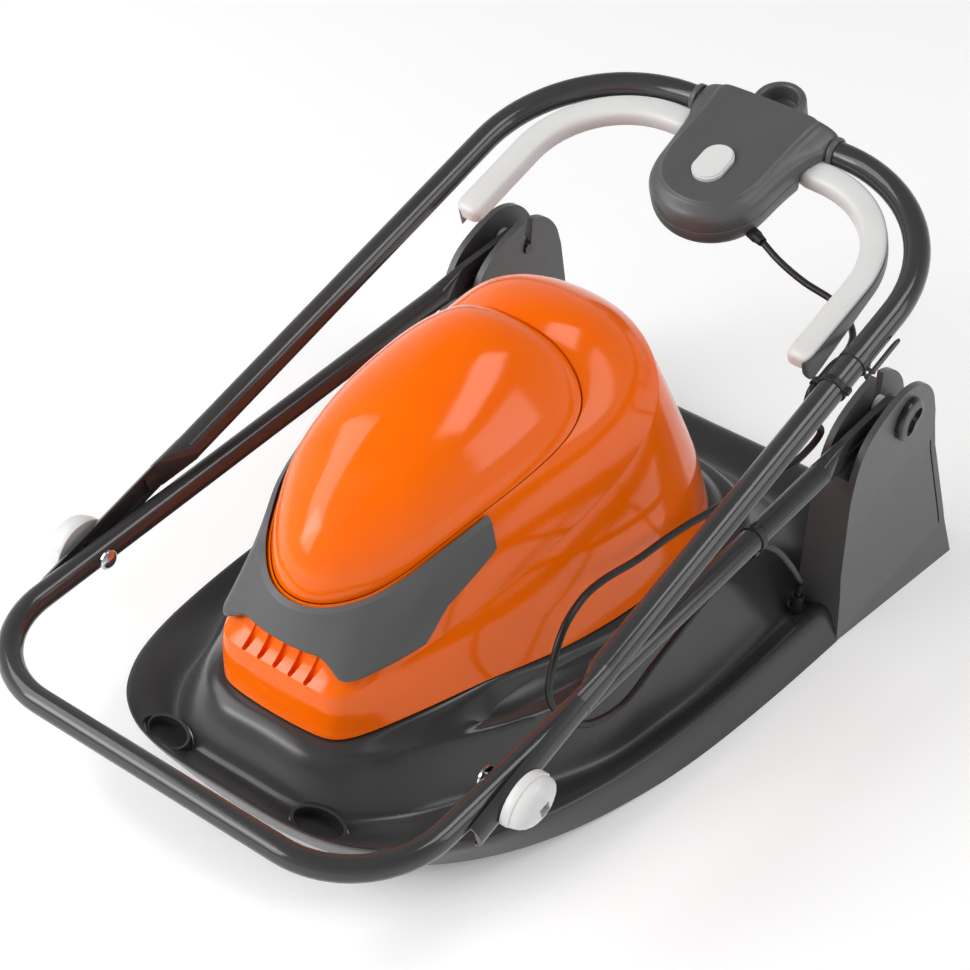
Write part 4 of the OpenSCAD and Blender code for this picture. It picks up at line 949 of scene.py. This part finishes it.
# solids that keep their own shape: a finish, rounded edges in mm and even shading
keptSolids = {
    "mouldedDeckPolypropylene": (0.8, ["front_cup_left", "front_cup_right"]),
    "glassFilledNylon": (1.0, ["bracket_left", "bracket_right"]),
    "powderCoatedTube": (0.6, ["lower_tube", "upper_tube", "cable_hook"]),
    "palePolypropylene": (1.0, ["lock_button", "pivot_bush_left", "pivot_bush_right"]),
    "zincPlatedSteel": (0.3, ["knob_bolt_left", "knob_bolt_right", "box_screws", "button_spring",
                              "lever_rod", "blade_bolt", "motor_shaft", "bearing_lower",
                              "bearing_upper"]),
    "groundBladeSteel": (0.3, ["blade"]),
    "castAluminium": (0.6, ["motor_mount"]),
    "lacqueredMotorCan": (0.6, ["motor_can"]),
    "varnishedWinding": (0.4, ["armature"]),
    "blackNylon": (0.4, ["impeller", "microswitch", "lead_gland", "deck_gland", "lower_clip",
                         "upper_clip"]),
    "orangeNylon": (0.5, ["blade_spacer"]),
    "turnedBrass": (0.3, ["inlet_pins"]),
}
edgeForm = {"weld": 0.00002, "segments": 2, "angle": 38}  # weld in metres, angle in degrees


def keepSolid(obj, finishName, edgeMm):
    mesh = obj.data
    if "custom_normal" in mesh.attributes:
        mesh.attributes.remove(mesh.attributes["custom_normal"])
    mesh.polygons.foreach_set("use_smooth", [True] * len(mesh.polygons))
    dress(obj, finishName)
    weld = obj.modifiers.new("join", "WELD")
    weld.merge_threshold = edgeForm["weld"]
    bevel = obj.modifiers.new("edges", "BEVEL")
    bevel.width = edgeMm / 1000
    bevel.segments = edgeForm["segments"]
    bevel.limit_method = "ANGLE"
    bevel.angle_limit = math.radians(edgeForm["angle"])
    bevel.use_clamp_overlap = True
    bevel.harden_normals = False
    normals = obj.modifiers.new("shade", "WEIGHTED_NORMAL")
    normals.keep_sharp = True


for finishName, (edgeMm, names) in keptSolids.items():
    for name in names:
        keepSolid(nodes[name], finishName, edgeMm)
print("solids dressed")

# pale floor and soft studio light
studio = {
    "floorSize": 40,
    "floor": "#f6f6f6",
    "mottleMm": 300,
    "floorRough": (0.8, 0.95),
    "floorSpecular": 0.1,
    "floorGlow": 0.2,
    "farGlow": 0.45,
    "glowFrom": 0.7,
    "glowTo": 2.6,
    "horizon": 0.7,
    "zenith": 0.12,
    "skyFrom": 0.05,
    "skyTo": 0.8,
    "lamps": [
        # name, place, aim, size, watts, direction of the first side, seen in reflections
        ("topBox", (0.86, 0.7, 2.4), (0.03, 0.0, 0.25), (1.2, 0.75), 12, (0.6, -0.8, 0), True),
        ("leftBox", (-1.45, -1.2, 1.6), (0, -0.1, 0.2), (2.2, 1.1), 27, (0.79, -1.86, -0.96), True),
        ("frontBox", (-1.1, -1.95, 1.1), (0, -0.2, 0.15), (1.1, 0.9), 13, (1, -0.5, 0), True),
        ("rightBox", (1.95, 0.9, 1.35), (0, 0, 0.2), (0.95, 1.25), 9, (-0.4, 0.9, 0), True),
        ("fillBox", (-0.5, -2.2, 2.4), (0, 0, 0.1), (2.0, 2.0), 27, (1, 0, 0), False),
        ("sideFill", (2.6, 0.4, 1.0), (0, 0, 0.2), (2.0, 1.6), 8, (0, 1, 0), False),
    ],
}


def makeFloor(s):
    bm = bmesh.new()
    bmesh.ops.create_grid(bm, x_segments=1, y_segments=1, size=s["floorSize"] / 2)
    floor = linkMesh("studioFloor", bm)
    mat = bpy.data.materials.new("paintedStudioFloor")
    mat.use_nodes = True
    tree = mat.node_tree
    tree.nodes.clear()
    place = addNode(tree, "TexCoord").outputs["Object"]
    mottle = addNode(tree, "TexNoise", {"Vector": place, "Scale": perMetre(s["mottleMm"]), "Detail": 2})
    rough = addNode(tree, "MapRange", {"Value": mottle.outputs["Fac"], "To Min": s["floorRough"][0],
                                       "To Max": s["floorRough"][1]})
    paint = addNode(tree, "BsdfPrincipled", {
        "Base Color": toLinear(s["floor"]), "Roughness": rough.outputs["Result"],
        "Specular IOR Level": s["floorSpecular"]})
    rays = addNode(tree, "LightPath")
    seen = addNode(tree, "Math", {0: rays.outputs["Is Camera Ray"], 1: rays.outputs["Is Glossy Ray"]},
                   operation="MAXIMUM")
    through = addNode(tree, "Math", {0: seen.outputs[0], 1: rays.outputs["Is Transmission Ray"]},
                      operation="MAXIMUM")
    # the far floor is out of the lamps' reach, so it glows a little more
    away = addNode(tree, "VectorMath", {0: place}, operation="LENGTH")
    level = addNode(tree, "MapRange", {
        "Value": away.outputs["Value"], "From Min": s["glowFrom"], "From Max": s["glowTo"],
        "To Min": s["floorGlow"], "To Max": s["farGlow"]})
    lift = addNode(tree, "Math", {0: through.outputs[0], 1: level.outputs["Result"]},
                   operation="MULTIPLY")
    glow = addNode(tree, "Emission", {"Strength": lift.outputs[0]})
    both = addNode(tree, "AddShader", {0: paint.outputs[0], 1: glow.outputs[0]})
    addNode(tree, "OutputMaterial", {"Surface": both.outputs[0]})
    floor.data.materials.append(mat)


def makeLight(s):
    world = bpy.data.worlds.new("studioSky")
    bpy.context.scene.world = world
    world.use_nodes = True
    tree = world.node_tree
    tree.nodes.clear()
    # bright at the horizon, darker overhead, as in a white tent under soft boxes
    way = addNode(tree, "SeparateXYZ", {"Vector": addNode(tree, "TexCoord").outputs["Generated"]})
    level = addNode(tree, "MapRange", {
        "Value": way.outputs["Z"], "From Min": s["skyFrom"], "From Max": s["skyTo"],
        "To Min": s["horizon"], "To Max": s["zenith"]})
    sky = addNode(tree, "Background", {"Color": (1, 1, 1, 1), "Strength": level.outputs["Result"]})
    addNode(tree, "OutputWorld", {"Surface": sky.outputs[0]})
    for name, place, aim, size, watts, along, mirrored in s["lamps"]:
        data = bpy.data.lights.new(name, "AREA")
        data.shape = "RECTANGLE"
        data.size, data.size_y = size
        data.energy = watts
        lamp = bpy.data.objects.new(name, data)
        lamp.location = place
        back = (Vector(place) - Vector(aim)).normalized()
        up = back.cross(Vector(along)).normalized()
        lamp.rotation_euler = Matrix((up.cross(back), up, back)).transposed().to_euler()
        lamp.visible_glossy = mirrored
        bpy.context.scene.collection.objects.link(lamp)


makeFloor(studio)
makeLight(studio)
bpy.context.scene.view_settings.view_transform = "Standard"
print("studio lit")
